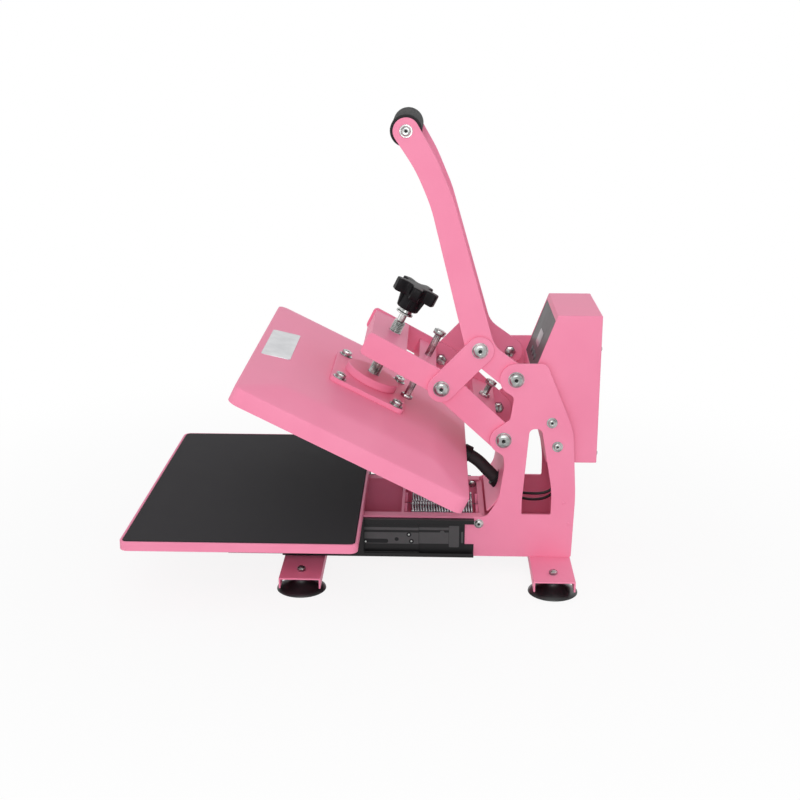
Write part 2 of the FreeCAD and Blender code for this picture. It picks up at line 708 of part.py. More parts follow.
gland_radius = cable_radius + gland_wall
web_hole = gland_rod("web_hole", gland_radius + fit_gap, gland_length * 2, gland_length * 4)
node("front_web", cut("front_web_cut", web_body, [web_hole]))
gland = gland_rod("gland_body", gland_radius, gland_length / 2, gland_length)
gland_bore = gland_rod("gland_bore", cable_radius + fit_gap, gland_length, gland_length * 2)
node("column_gland", cut("column_gland_cut", gland, [gland_bore]))
node(
    "rear_panel",
    box(
        "rear_panel_sheet",
        -inner_face,
        base_rear - 12,
        base_bottom,
        inner_face * 2,
        pan_sheet,
        box_bottom - base_bottom - layer_gap,
    ),
)

# Legs and feet
LEGS = [("front_leg", front_leg_y), ("rear_leg", rear_leg_y)]
for name, middle in LEGS:
    low = base_bottom - leg_height
    channel = middle_box(name + "_outer", 0, middle, low, leg_length, leg_width, leg_height)
    hollow = middle_box(
        name + "_hollow",
        0,
        middle,
        low - 1,
        leg_length + 2,
        leg_width - leg_sheet * 2,
        leg_height - leg_sheet + 1,
    )
    holes = [hollow]
    for x in (-foot_spacing / 2, 0, foot_spacing / 2):
        holes.append(
            rod(name + "_hole", "z", x, middle, low, stud_radius + fit_gap, leg_height + 1)
        )
    node(name, cut(name + "_cut", channel, holes))

under_leg = float(base_bottom - leg_sheet)
bore = float(stud_radius + fit_gap)
rim = float(foot_radius)
neck = rim * 0.36
FOOT_PROFILE = [
    (bore, 10),
    (rim * 0.6, 5),
    (rim * 0.86, 0),
    (rim, 0),
    (rim, 2.5),
    (rim * 0.75, 9),
    (rim * 0.45, 14),
    (neck, 18),
    (neck, under_leg),
    (bore, under_leg),
]
feet = []
foot_bolts = []
for leg, middle in LEGS:
    for side, x in (("right", foot_spacing / 2), ("left", -foot_spacing / 2)):
        place = Vector(float(x), float(middle), 0)
        feet.append(made(f"{leg}_foot_{side}", revolved(FOOT_PROFILE, place)))
        stud = rod("stud", "z", x, middle, 12, stud_radius, base_bottom + small_head_height - 10)
        nut = hexagon("stud_nut", "z", x, middle, base_bottom, small_head, small_head_height)
        foot_bolts.append(fuse("foot_bolt", [stud, nut]))
    low = base_bottom - leg_sheet
    length = leg_sheet + pan_sheet
    shank = rod("leg_shank", "z", 0, middle, low, stud_radius, length)
    lower = hexagon(
        "leg_head", "z", 0, middle, low - small_head_height, small_head, small_head_height
    )
    nut = hexagon("leg_nut", "z", 0, middle, low + length, small_head, small_head_height)
    foot_bolts.append(fuse("leg_bolt", [shank, lower, nut]))
node("feet", group("feet_set", feet))

# Drawer slides, from the side plates outwards
SIDES = [("right", 1), ("left", -1)]


def channel(name, side, start, inset, depth, front, cuts=()):
    """One slide member: a channel that opens outwards, with lips."""
    height = slide_height - inset * 2
    bottom = slide_bottom + inset
    x = half + start if side > 0 else -half - start - depth
    outer = box(name + "_outer", x, front, bottom, depth, slide_length, height)
    hollow = box(
        name + "_hollow",
        x + slide_sheet,
        front - 1,
        bottom + slide_sheet,
        depth - slide_sheet * 2,
        slide_length + 2,
        height - slide_sheet * 2,
    )
    mouth_x = x + slide_sheet if side > 0 else x - slide_sheet
    mouth = box(
        name + "_mouth",
        mouth_x,
        front - 1,
        bottom + slide_lip,
        depth,
        slide_length + 2,
        height - slide_lip * 2,
    )
    return cut(name + "_cut", outer, [hollow, mouth] + list(cuts))


nested = slide_sheet + slide_gap
middle_front = slide_front - drawer_travel / 2
inner_front = slide_front - drawer_travel
middle_depth = slide_depth - nested - slide_sheet - slide_gap
fixed = []
middles = []
for name, side in SIDES:
    web_x = half - 1 if side > 0 else -half - slide_sheet - 1
    notch = box(
        "slide_notch",
        web_x,
        slide_front + slide_length - slide_recess,
        slide_bottom + slide_lip * 3,
        slide_sheet + 2,
        slide_recess + 1,
        slide_height - slide_lip * 4,
    )
    slot = box(
        "slide_slot",
        web_x,
        slide_front + slot_place,
        base_top - slot_drop,
        slide_sheet + 2,
        slot_length,
        slot_height,
    )
    screw_holes = []
    for place_y, place_z, radius in (
        (*SIDE_SCREWS[0], small_head),
        (slide_front + slot_place + 30, base_top - slot_drop + slot_height + 0.5, stud_radius),
    ):
        screw_holes.append(
            rod("slide_hole", "x", web_x, place_y, place_z, radius + fit_gap, slide_sheet + 2)
        )
    fixed.append(
        channel(
            f"fixed_{name}",
            side,
            0,
            0,
            slide_depth,
            slide_front,
            [notch, slot] + screw_holes,
        )
    )
    middles.append(channel(f"middle_{name}", side, nested, nested, middle_depth, middle_front))
node("slides_fixed", group("slides_fixed_set", fixed))
node("slide_middles", group("slide_middles_set", middles))


def low_x(side, start, length):
    """Low end in X of a stretch that starts at a distance from the middle, on one side."""
    return start if side > 0 else -start - length


# Drawer: tray, board, pad, brackets and inner slides
tray_middle_y = tray_front + tray_depth / 2
tray_edges = rounded_rectangle(tray_middle_y, tray_width, tray_depth, tray_corner)
pocket_edges = rounded_rectangle(
    tray_middle_y, tray_width - tray_rim * 2, tray_depth - tray_rim * 2, tray_corner - tray_rim
)
pad_edges = rounded_rectangle(
    tray_middle_y,
    tray_width - (tray_rim + pad_gap) * 2,
    tray_depth - (tray_rim + pad_gap) * 2,
    tray_corner - tray_rim - pad_gap,
)
tray_shell = sketched_body("tray_shell", "XY_Plane", [tray_edges], tray_height)
tray_pocket = sketched_body("tray_pocket", "XY_Plane", [pocket_edges], tray_height)
tray_pocket.Placement = Placement(Vector(0, 0, tray_sheet), Rotation())
node(
    "tray",
    cut("tray_cut", tray_shell, [tray_pocket]),
    Placement(Vector(0, 0, tray_bottom), Rotation()),
)
board_height = tray_height - tray_sheet - pad_depth + pad_proud
node(
    "tray_board",
    sketched_body("tray_board_body", "XY_Plane", [pad_edges], board_height),
    Placement(Vector(0, 0, tray_bottom + tray_sheet), Rotation()),
)
node(
    "silicone_pad",
    sketched_body("silicone_pad_body", "XY_Plane", [pad_edges], pad_depth),
    Placement(Vector(0, 0, pad_top - pad_depth), Rotation()),
)

inner_start = nested * 2
inner_depth = middle_depth - nested - slide_sheet - slide_gap
bracket_start = half + slide_depth + bracket_gap
inners = []
brackets = []
tray_screws = []
for name, side in SIDES:
    inners.append(channel(f"inner_{name}", side, inner_start, inner_start, inner_depth, inner_front))
    upright = box(
        f"bracket_upright_{name}",
        low_x(side, bracket_start, bracket_sheet),
        inner_front,
        tray_bottom - bracket_drop,
        bracket_sheet,
        slide_length,
        bracket_drop,
    )
    flange = box(
        f"bracket_flange_{name}",
        low_x(side, bracket_start, bracket_flange),
        inner_front,
        tray_bottom - bracket_sheet,
        bracket_flange,
        slide_length,
        bracket_sheet,
    )
    holes = []
    spacer_start = half + inner_start + slide_sheet
    spacer_length = bracket_start - spacer_start
    for k in range(3):
        y = inner_front + slide_length * (k + 0.5) / 3
        z = slide_bottom + slide_height / 2
        x = low_x(side, bracket_start - 1, bracket_sheet + 2)
        holes.append(rod("bracket_hole", "x", x, y, z, stud_radius + fit_gap, bracket_sheet + 2))
        spacer = rod(
            "spacer", "x", low_x(side, spacer_start, spacer_length), y, z, small_head, spacer_length
        )
        shank = rod(
            "spacer_shank",
            "x",
            low_x(side, bracket_start, bracket_sheet),
            y,
            z,
            stud_radius,
            bracket_sheet,
        )
        head = hexagon(
            "spacer_head",
            "x",
            low_x(side, bracket_start + bracket_sheet, small_head_height),
            y,
            z,
            small_head,
            small_head_height,
        )
        tray_screws.append(fuse("tray_screw", [spacer, shank, head]))
    angle = fuse(f"bracket_angle_{name}", [upright, flange])
    brackets.append(cut(f"bracket_{name}", angle, holes))
node("slide_inners", group("slide_inners_set", inners))
node("tray_brackets", group("tray_brackets_set", brackets))
node("tray_screws", group("tray_screws_set", tray_screws))

# Screws of the base and of the control box
side_screws = []
for name, side in SIDES:
    front_y, front_z = SIDE_SCREWS[0]
    through = plate + pan_sheet
    start = inner_face - pan_sheet
    shank = rod("side_shank", "x", low_x(side, start, through), front_y, front_z, stud_radius, through)
    head = rod(
        "side_head", "x", low_x(side, half, slide_sheet), front_y, front_z, small_head, slide_sheet
    )
    nut = hexagon(
        "side_nut",
        "x",
        low_x(side, start - small_head_height, small_head_height),
        front_y,
        front_z,
        small_head,
        small_head_height,
    )
    side_screws.append(fuse("slide_screw", [shank, head, nut]))
    rear_y, rear_z = SIDE_SCREWS[1]
    through = plate + pan_sheet
    shank = rod("rear_shank", "x", low_x(side, start, through), rear_y, rear_z, stud_radius, through)
    nut = hexagon(
        "rear_nut",
        "x",
        low_x(side, start - small_head_height, small_head_height),
        rear_y,
        rear_z,
        small_head,
        small_head_height,
    )
    side_screws.append(fuse("pan_screw", [shank, nut]))

box_half = box_width / 2
box_screws = []
for name, side in SIDES:
    for y, z in BOX_SCREWS:
        spacer = rod(
            "box_spacer",
            "x",
            low_x(side, box_half, inner_face - box_half),
            y,
            z,
            small_head,
            inner_face - box_half,
        )
        start = box_half - box_sheet
        length = half - start
        shank = rod("box_shank", "x", low_x(side, start, length), y, z, stud_radius, length)
        head_height = small_head_height / 2
        head = rod("box_head", "x", low_x(side, half, head_height), y, z, small_head + 2, head_height)
        box_screws.append(fuse("box_screw", [spacer, shank, head]))
node("base_fasteners", group("base_fasteners_set", foot_bolts + side_screws + box_screws))


# Pivot bolts
def bolt_head(name, side, start, pivot):
    """Washer and dome head with a hexagon socket, outwards from a face."""
    y, z = pivot
    dome_start = start + washer_height
    flat = dome_height / 2
    washer = rod(
        name + "_washer", "x", low_x(side, start, washer_height), y, z, washer_radius, washer_height
    )
    drum = rod(name + "_drum", "x", low_x(side, dome_start, flat), y, z, dome_radius, flat)
    dome = doc.addObject("Part::Cone", name + "_dome")
    set_down(dome, low_x(side, dome_start + flat, flat), y, z, TURN["x"])
    wide, narrow = dome_radius, dome_radius * 0.62
    bind(dome, "Radius1", wide if side > 0 else narrow)
    bind(dome, "Radius2", narrow if side > 0 else wide)
    bind(dome, "Height", flat)
    socket = hexagon(
        name + "_socket", "x", low_x(side, dome_start + flat / 2, dome_height), y, z,
        dome_radius * 0.36, dome_height,
    )
    return cut(name + "_head", fuse(name + "_solid", [washer, drum, dome]), [socket])


def bolt_shank(name, side, start, end, pivot):
    y, z = pivot
    return rod(name + "_shank", "x", low_x(side, start, end - start), y, z, pin_radius, end - start)


def bolt_nut(name, side, face, pivot):
    """A nut whose outer face lies at a distance from the middle."""
    y, z = pivot
    return hexagon(
        name + "_nut", "x", low_x(side, face - nut_height, nut_height), y, z, nut_radius, nut_height
    )


base_bolts = []
toggle_bolts = []
crank_bolts = []
crank_nuts = []
for name, side in SIDES:
    for label, pivot in (("hinge", (hinge_y, hinge_z)), ("handle", HANDLE_PIVOT)):
        part_name = f"{label}_bolt_{name}"
        face = arm_inner - layer_gap
        head = bolt_head(part_name, side, half, pivot)
        shank = bolt_shank(part_name, side, face, half + washer_height, pivot)
        nut = bolt_nut(part_name, side, face, pivot)
        base_bolts.append(fuse(part_name, [head, shank, nut]))
    part_name = f"toggle_bolt_{name}"
    head = bolt_head(part_name, side, half + layer_gap, TOGGLE_PIVOT)
    shank = bolt_shank(part_name, side, arm_inner, half + layer_gap + washer_height, TOGGLE_PIVOT)
    nut = bolt_nut(part_name, side, arm_inner, TOGGLE_PIVOT)
    toggle_bolts.append(fuse(part_name, [head, shank, nut]))
    part_name = f"crank_bolt_{name}"
    head = bolt_head(part_name, side, half, CRANK_PIVOT)
    stub = bolt_shank(part_name, side, inner_face, half + washer_height, CRANK_PIVOT)
    crank_bolts.append(fuse(part_name, [head, stub]))
    stub = bolt_shank(part_name + "_inner", side, arm_inner, arm_face, CRANK_PIVOT)
    nut = bolt_nut(part_name, side, arm_inner, CRANK_PIVOT)
    crank_nuts.append(fuse(part_name + "_nut_set", [stub, nut]))
node("base_pivot_bolts", group("base_pivot_bolts_set", base_bolts))
node("toggle_bolts", group("toggle_bolts_set", toggle_bolts))
node("crank_bolts", group("crank_bolts_set", crank_bolts))

# Arm: plates, screw block, guide bar, stop bar and spring lever
toggle_local = from_hinge(toggle_y, toggle_z)
lever_top = lever_bottom + lever_height
lever_inside = lever_heel - lever_leg
lever_tip = pan_rear + lever_gap
arm_outline = outline(
    (*from_hinge(lever_tip, lever_bottom), 4),
    (*from_hinge(lever_heel, lever_bottom), 30),
    (0, 0, lobe, "about"),
    (toggle_local[0] + 14, toggle_local[1] + 28, 60),
    (block_front - 4, block_top + 3, 8),
    (block_front - 4, block_bottom, 8),
    (toggle_local[0] - 22, block_bottom - 6, 60),
    (toggle_local[0] + 12, toggle_local[1] - 22, 60),
    (0, 0, lobe, "about"),
    (*from_hinge(lever_inside, hinge_z - lobe - 8), 6),
    (*from_hinge(lever_inside, lever_top + 12), 12),
    (*from_hinge(lever_inside - 14, lever_top), 12),
    (*from_hinge(lever_tip, lever_top), 4),
)
pair_of_plates(
    "arm_plate",
    [
        arm_outline,
        circle(HINGE, pin_radius + running_fit),
        circle(toggle_local, pin_radius + fit_gap),
    ],
    arm_inner,
    HEAD_PLACE,
)

arm_width = arm_inner * 2
block_outer = box(
    "block_outer", -arm_inner, block_front, block_bottom, arm_width, block_depth, block_height
)
block_hollow = box(
    "block_hollow",
    -arm_inner - 1,
    block_front + block_wall,
    block_bottom - 1,
    arm_width + 2,
    block_depth - block_wall * 2,
    block_height - block_wall + 1,
)
block_boss = rod("block_boss", "z", 0, head_middle, block_bottom, boss_radius, block_height)
block_thread = rod(
    "block_thread",
    "z",
    0,
    head_middle,
    block_bottom - 1,
    screw_radius + running_fit,
    block_height + 2,
)
block_shell = cut("block_shell", block_outer, [block_hollow])
block_solid = fuse("block_solid", [block_shell, block_boss])
node("screw_block", cut("screw_block_cut", block_solid, [block_thread]), HEAD_PLACE)

BARS = [
    ("guide_bar", guide_place, guide_bottom, guide_height, guide_depth, guide_radius + running_fit),
    ("stop_bar", stop_place, stop_bottom, stop_height, stop_depth, stop_radius + fit_gap),
]
bars = []
for name, place_y, bottom, height, depth, bore in BARS:
    bar = box(
        name + "_bar", -arm_inner, place_y - depth / 2, bottom, arm_width, depth, height
    )
    hole = rod(name + "_hole", "z", 0, place_y, bottom - 1, bore, height + 2)
    bars.append(cut(name + "_cut", bar, [hole]))
node("arm_crossbars", group("arm_crossbars_set", bars), HEAD_PLACE)

stop_top = stop_bottom + stop_height
stop_parts = [
    rod("stop_shank", "z", 0, stop_place, stop_bottom - 20, stop_radius, stop_height + stop_rise + 20),
    hexagon(
        "stop_head", "z", 0, stop_place, stop_top + stop_rise, nut_radius, small_head_height + 2
    ),
    hexagon("stop_nut", "z", 0, stop_place, stop_top, nut_radius, small_head_height),
    hexagon(
        "stop_lower_nut",
        "z",
        0,
        stop_place,
        stop_bottom - small_head_height,
        nut_radius,
        small_head_height,
    ),
]
node("stop_bolt", fuse("stop_bolt_solid", stop_parts), HEAD_PLACE)

plug_front = lever_front - plug_length
lever_parts = [
    box("lever_plate", -arm_inner, lever_front, lever_bottom + 2, arm_width, lever_depth, lever_height - 4)
]
for name, side in SIDES:
    lever_parts.append(
        rod("lever_plug", "y", spring_x * side, plug_front, spring_z, plug_radius, plug_length)
    )
node("spring_lever_bar", fuse("spring_lever_bar_solid", lever_parts))

# Return springs and their anchor in the pan
anchor_parts = [
    box(
        "anchor_plate",
        -inner_face + pan_sheet,
        spring_anchor_y,
        lever_bottom,
        (inner_face - pan_sheet) * 2,
        anchor_depth,
        lever_height - 4,
    )
]
for name, side in SIDES:
    anchor_parts.append(
        rod(
            "anchor_plug",
            "y",
            spring_x * side,
            spring_anchor_y + anchor_depth,
            spring_z,
            plug_radius,
            plug_length,
        )
    )
node("spring_anchor", fuse("spring_anchor_solid", anchor_parts))


def bent(start, corner, end):
    """The arc that touches two equal straight stretches at their ends."""
    weight = (end - start).Length / 2 / (corner - start).Length
    middle = (start + end + corner * (2 * weight)) / (2 + 2 * weight)
    return Part.Arc(start, middle, end)


def spring(name, x):
    """A close coil along Y whose ends turn along the axis to meet the plugs."""
    wire = float(spring_wire)
    radius = float(spring_radius)
    low = float(spring_anchor_y + anchor_depth + plug_length)
    high = float(plug_front)
    bend = wire * 2
    straight = wire * 2
    rise = (high - low - 2 * (straight + bend)) / (spring_turns + bend / (math.pi * radius))
    climb = math.atan(rise / (2 * math.pi * radius))
    coil_low = low + straight + bend + bend * math.sin(climb)

    def point(turns):
        angle = 2 * math.pi * turns
        return Vector(
            x + radius * math.cos(angle), coil_low + rise * turns, spring_z + radius * math.sin(angle)
        )

    def heading(turns):
        angle = 2 * math.pi * turns
        flat = math.cos(climb)
        return Vector(-flat * math.sin(angle), math.sin(climb), flat * math.cos(angle))

    first = point(0)
    first_corner = first - heading(0) * bend
    first_end = first_corner - Vector(0, bend, 0)
    curves = [
        Part.LineSegment(Vector(first_end.x, low, first_end.z), first_end),
        bent(first_end, first_corner, first),
    ]
    quarters = int(round(spring_turns * 4))
    for k in range(quarters):
        here, there = point(k / 4), point((k + 1) / 4)
        out, into = heading(k / 4), heading((k + 1) / 4)
        way = there - here
        both = out + into
        spare = 4 - both.dot(both)
        reach = (-way.dot(both) + math.sqrt(way.dot(both) ** 2 + spare * way.dot(way))) / spare
        corner = here + out * reach
        next_corner = there - into * reach
        middle = (corner + next_corner) / 2
        curves.append(bent(here, corner, middle))
        curves.append(bent(middle, next_corner, there))
    last = point(spring_turns)
    last_corner = last + heading(spring_turns) * bend
    last_end = last_corner + Vector(0, bend, 0)
    curves.append(bent(last, last_corner, last_end))
    curves.append(Part.LineSegment(last_end, Vector(last_end.x, high, last_end.z)))
    path = Part.Wire([curve.toShape() for curve in curves])
    ring = Part.Wire(Part.Circle(curves[0].StartPoint, Vector(0, 1, 0), wire).toShape())
    coil = path.makePipeShell([ring], True, False)
    points = path.discretize(Distance=1.0)
    apart = int(math.pi * radius)
    nearest = min(
        points[i].distanceToPoint(points[j])
        for i in range(0, len(points), 3)
        for j in range(i + apart, min(i + apart * 4, len(points)))
    )
    print(f"{name}: pitch {rise:.2f}, least gap {nearest - 2 * wire:.2f}, valid {coil.isValid()}")
    return coil


for name, side in SIDES:
    coil = spring(f"spring_{name}", float(spring_x) * side)
    node(f"spring_{name}", made(f"spring_{name}_coil", coil))

# Links and handle
link_outline = outline(
    (toggle_y, toggle_z, lobe, "about"),
    (crank_y, crank_z, lobe, "about"),
)
pair_of_plates(
    "link",
    [
        link_outline,
        circle(TOGGLE_PIVOT, pin_radius + running_fit),
        circle(CRANK_PIVOT, pin_radius + fit_gap),
    ],
    inner_face,
)

GRIP = Vector(float(grip_y), float(grip_z), 0)
STEM = [
    Vector(float(crank_y) - 2, float(crank_z), 0),
    Vector(float(stem_knee_y), float(stem_knee_z), 0),
    Vector(float(stem_bend_y), float(stem_bend_z), 0),
    GRIP,
]


def beside(points, distance):
    """Corners of a path moved to its right by a distance."""
    moved = []
    for before, corner, after in zip(points, points[1:], points[2:]):
        coming = (corner - before).normalize()
        going = (after - corner).normalize()
        across = Vector(coming.y + going.y, -coming.x - going.x, 0).normalize()
        half_turn = coming.getAngle(going) / 2
        moved.append(corner + across * (distance / math.cos(half_turn)))
    return [(corner.x, corner.y, 260) for corner in moved]


right_edge = beside(STEM, float(stem_half))
left_edge = beside(STEM, -float(stem_half))[::-1]
handle_outline = outline(
    (handle_y, handle_z, lobe, "about"),
    (crank_y + 25, crank_z + 6, 45),
    *right_edge,
    (grip_y, grip_z, stem_end, "about"),
    *left_edge,
    (crank_y, crank_z, lobe, "about"),
)
pair_of_plates(
    "handle_plate",
    [
        handle_outline,
        circle(HANDLE_PIVOT, pin_radius + running_fit),
        circle(CRANK_PIVOT, pin_radius + fit_gap),
        circle((grip_y, grip_z), stud_radius + fit_gap),
    ],
    arm_inner,
)
grip_width = arm_inner * 2
grip_outer = rod("grip_outer", "x", -arm_inner, grip_y, grip_z, grip_radius, grip_width)
grip_bore = rod(
    "grip_bore", "x", -arm_inner - 1, grip_y, grip_z, rod_radius + fit_gap, grip_width + 2
)
node("grip", cut("grip_cut", grip_outer, [grip_bore]))
grip_rod = rod("grip_rod", "x", -arm_inner, grip_y, grip_z, rod_radius, grip_width)
grip_screws = []
for name, side in SIDES:
    shank = rod(
        "grip_shank", "x", low_x(side, arm_inner, plate), grip_y, grip_z, stud_radius, plate
    )
    head = rod(
        "grip_head",
        "x",
        low_x(side, arm_face, small_head_height),
        grip_y,
        grip_z,
        small_head + 2,
        small_head_height,
    )
    grip_screws.append(fuse("grip_screw", [shank, head]))
node("handle_fasteners", group("handle_fasteners_set", [grip_rod] + grip_screws + crank_nuts))

# Head: cover, platen, insulation, mounting plate and thrust ring
def cover_solid(inset, bottom, top_drop):
    """The outer form of the cover, moved inwards by an inset."""
    width = float(head_width) - inset * 2
    depth = float(head_depth) - inset * 2
    corner = float(cover_corner) - inset
    middle = float(head_middle)
    bevel = float(cover_bevel)
    knee = float(head_rim + rim_height) - top_drop * 0.4
    top = float(cover_top) - top_drop
    base = rounded_rectangle(middle, width, depth, corner)
    crown = rounded_rectangle(middle, width - bevel * 2, depth - bevel * 2, corner)
    lower = solid_of(base, bottom, knee)
    upper = Part.makeLoft([wire_of(base, knee), wire_of(crown, top)], True, True)
    return lower.fuse(upper).removeSplitter()


def upright_hole(x, y, radius):
    foot = Vector(float(x), float(y), float(head_rim))
    return Part.makeCylinder(float(radius), float(cover_height * 2), foot)


MOUNT_CORNERS = [
    (mount_bolts_x / 2 * a, head_middle + mount_bolts_y / 2 * b) for a in (-1, 1) for b in (-1, 1)
]
rim = float(head_rim)
cover = cover_solid(0, rim, 0).cut(cover_solid(float(cover_sheet), rim - 1, float(cover_sheet)))
for x, y in MOUNT_CORNERS:
    cover = cover.cut(upright_hole(x, y, stud_radius + fit_gap))
node("head_cover", made("head_cover_shell", cover), HEAD_PLACE)

platen_bottom = head_rim - platen_proud
platen_top = platen_bottom + platen_height
cover_under = cover_top - cover_sheet
platen_parts = [
    middle_box("platen_slab", 0, head_middle, platen_bottom, platen_width, platen_depth, platen_height)
]
blanket_holes = []
for x, y in MOUNT_CORNERS:
    platen_parts.append(
        rod("platen_boss", "z", x, y, platen_top, small_head + 2, cover_under - platen_top)
    )
    blanket_holes.append(
        rod("blanket_hole", "z", x, y, platen_top - 1, small_head + 2 + fit_gap, blanket_height + 2)
    )
node("heating_platen", fuse("heating_platen_solid", platen_parts), HEAD_PLACE)
blanket = middle_box(
    "blanket_slab",
    0,
    head_middle,
    platen_top,
    platen_width - blanket_inset * 2,
    platen_depth - blanket_inset * 2,
    blanket_height,
)
node("insulation", cut("insulation_cut", blanket, blanket_holes), HEAD_PLACE)

mount_plan = rounded_rectangle(
    float(head_middle), float(mount_width), float(mount_depth), float(mount_corner)
)
mount_slab = made("mount_slab", solid_of(mount_plan, float(cover_top), float(mount_top)))
mount_holes = [
    rod("mount_hole", "z", x, y, cover_top - 1, stud_radius + fit_gap, mount_height + 2)
    for x, y in MOUNT_CORNERS
]
node("mounting_plate", cut("mounting_plate_cut", mount_slab, mount_holes), HEAD_PLACE)
ring_outer = rod("ring_outer", "z", 0, head_middle, mount_top, thrust_radius, thrust_height)
ring_bore = rod(
    "ring_bore", "z", 0, head_middle, mount_top - 1, screw_radius + running_fit, thrust_height + 2
)
node("thrust_ring", cut("thrust_ring_cut", ring_outer, [ring_bore]), HEAD_PLACE)

mounting_bolts = []
for x, y in MOUNT_CORNERS:
    shank = rod("mount_shank", "z", x, y, cover_under, stud_radius, mount_top - cover_under)
    head = hexagon("mount_head", "z", x, y, mount_top, small_head + 2, small_head_height + 3)
    mounting_bolts.append(fuse("mount_bolt", [shank, head]))
node("mounting_bolts", group("mounting_bolts_set", mounting_bolts), HEAD_PLACE)

guide_parts = [
    rod("guide_shank", "z", 0, guide_place, mount_top, guide_radius, guide_head - mount_top),
    hexagon("guide_bolt_head", "z", 0, guide_place, guide_head, nut_radius + 1, nut_height),
]
guide_parts.append(
    hexagon("guide_nut", "z", 0, guide_place, mount_top, nut_radius + 1, small_head_height)
)
node("guide_bolt", fuse("guide_bolt_solid", guide_parts), HEAD_PLACE)

# Pressure screw and knob
screw_parts = [
    rod(
        "screw_thread",
        "z",
        0,
        head_middle,
        mount_top + screw_end_gap,
        screw_radius,
        neck_bottom - mount_top - screw_end_gap,
    ),
    rod(
        "screw_neck",
        "z",
        0,
        head_middle,
        neck_bottom,
        neck_radius,
        hub_bottom + hub_height / 2 - neck_bottom,
    ),
    rod(
        "screw_collar",
        "z",
        0,
        head_middle,
        collar_bottom,
        collar_radius,
        collar_height,
    ),
]
node("pressure_screw", fuse("pressure_screw_solid", screw_parts), HEAD_PLACE)
knob_base = knob_top - knob_height
knob_parts = [
    rod("knob_hub", "z", 0, head_middle, hub_bottom, hub_radius, hub_height),
    rod("knob_middle", "z", 0, head_middle, knob_base, knob_core, knob_height),
]
for k in range(int(knob_lobes)):
    angle = 2 * math.pi * k / knob_lobes
    out = knob_radius - lobe_radius
    knob_parts.append(
        rod(
            "knob_lobe",
            "z",
            out * math.cos(angle),
            head_middle + out * math.sin(angle),
            knob_base,
            lobe_radius,
            knob_height,
        )
    )
knob_bore = rod(
    "knob_bore",
    "z",
    0,
    head_middle,
    hub_bottom - 1,
    neck_radius + fit_gap,
    hub_height / 2 + 1,
)
node("knob", cut("knob_cut", fuse("knob_solid", knob_parts), [knob_bore]), HEAD_PLACE)

# Control box, its panel and what is in it
slope_run = box_top_front - box_knee_y
slope_rise = box_top - box_knee_z
slope_length = math.hypot(slope_run, slope_rise)
SLOPE = math.degrees(math.atan2(slope_rise, slope_run))
PANEL_PLACE = Placement(
    Vector(0, float(box_knee_y), float(box_knee_z)), Rotation(Vector(1, 0, 0), SLOPE)
)


def box_profile(inset):
    """Outline of the box, moved inwards."""
    lean = inset * math.tan(math.radians(90 - SLOPE) / 2)
    top_lean = inset * math.tan(math.radians(SLOPE) / 2)
    chin = inset * math.tan(math.atan2(box_chin_y - box_knee_y, box_chin_rise) / 2)
    return outline(
        (box_chin_y + inset, box_bottom + inset, 2),
        (box_rear - inset, box_bottom + inset, 2),
        (box_rear - inset, box_top - inset, 2),
        (box_top_front + top_lean, box_top - inset, 2),
        (box_knee_y + inset, box_knee_z - lean, 2),
        (box_knee_y + inset, box_chin_z + box_chin_rise + chin, 3),
        (box_chin_y + inset, box_chin_z + chin, 3),
    )


box_shell = sketched_body("box_shell", "YZ_Plane", [box_profile(0)], box_width)
box_space = sketched_body(
    "box_space", "YZ_Plane", [box_profile(float(box_sheet))], box_width - box_sheet * 2
)
box_shell.Placement = Placement(Vector(-float(box_half), 0, 0), Rotation())
box_space.Placement = Placement(Vector(-float(box_half - box_sheet), 0, 0), Rotation())
panel_width = box_width - panel_side * 2
panel_low = slope_length - panel_head - panel_height
panel_cut = middle_box(
    "panel_cut",
    0,
    panel_low + panel_height / 2,
    -10,
    panel_width + fit_gap * 2,
    panel_height + fit_gap * 2,
    20,
)
panel_opening = group("panel_opening", [panel_cut])
panel_opening.Placement = PANEL_PLACE
socket_hole = middle_box(
    "socket_hole", socket_x, box_rear, socket_z - socket_height / 2, socket_width, 10, socket_height
)
rocker_hole = middle_box(
    "rocker_hole",
    rocker_x,
    box_rear,
    socket_z - rocker_height / 2 - 2,
    rocker_width + 4,
    10,
    rocker_height + 4,
)
box_tools = [box_space, panel_opening, socket_hole, rocker_hole]
for y, z in BOX_SCREWS:
    box_tools.append(
        rod("box_hole", "x", -box_half - 1, y, z, stud_radius + fit_gap, box_width + 2)
    )
node("control_box", cut("control_box_cut", box_shell, box_tools))

panel_top = -panel_recess
panel_slab = middle_box(
    "panel_slab",
    0,
    panel_low + panel_height / 2,
    panel_top - panel_sheet,
    panel_width,
    panel_height,
    panel_sheet,
)
display_y = panel_low + panel_height * 0.47
buttons_y = panel_low + panel_height * 0.18
display_hole = middle_box(
    "display_hole", 0, display_y, -20, display_width - 4, display_height - 4, 40
)
panel_holes = [display_hole]
BUTTON_X = [button_pitch * (k - 1) for k in range(3)]
for x in BUTTON_X:
    panel_holes.append(rod("button_hole", "z", x, buttons_y, -20, button_radius + button_gap, 40))
node("control_panel", cut("control_panel_cut", panel_slab, panel_holes), PANEL_PLACE)
display = middle_box(
    "display_pane", 0, display_y, panel_top, display_width, display_height, display_proud
)
node("display_window", group("display_window_set", [display]), PANEL_PLACE)

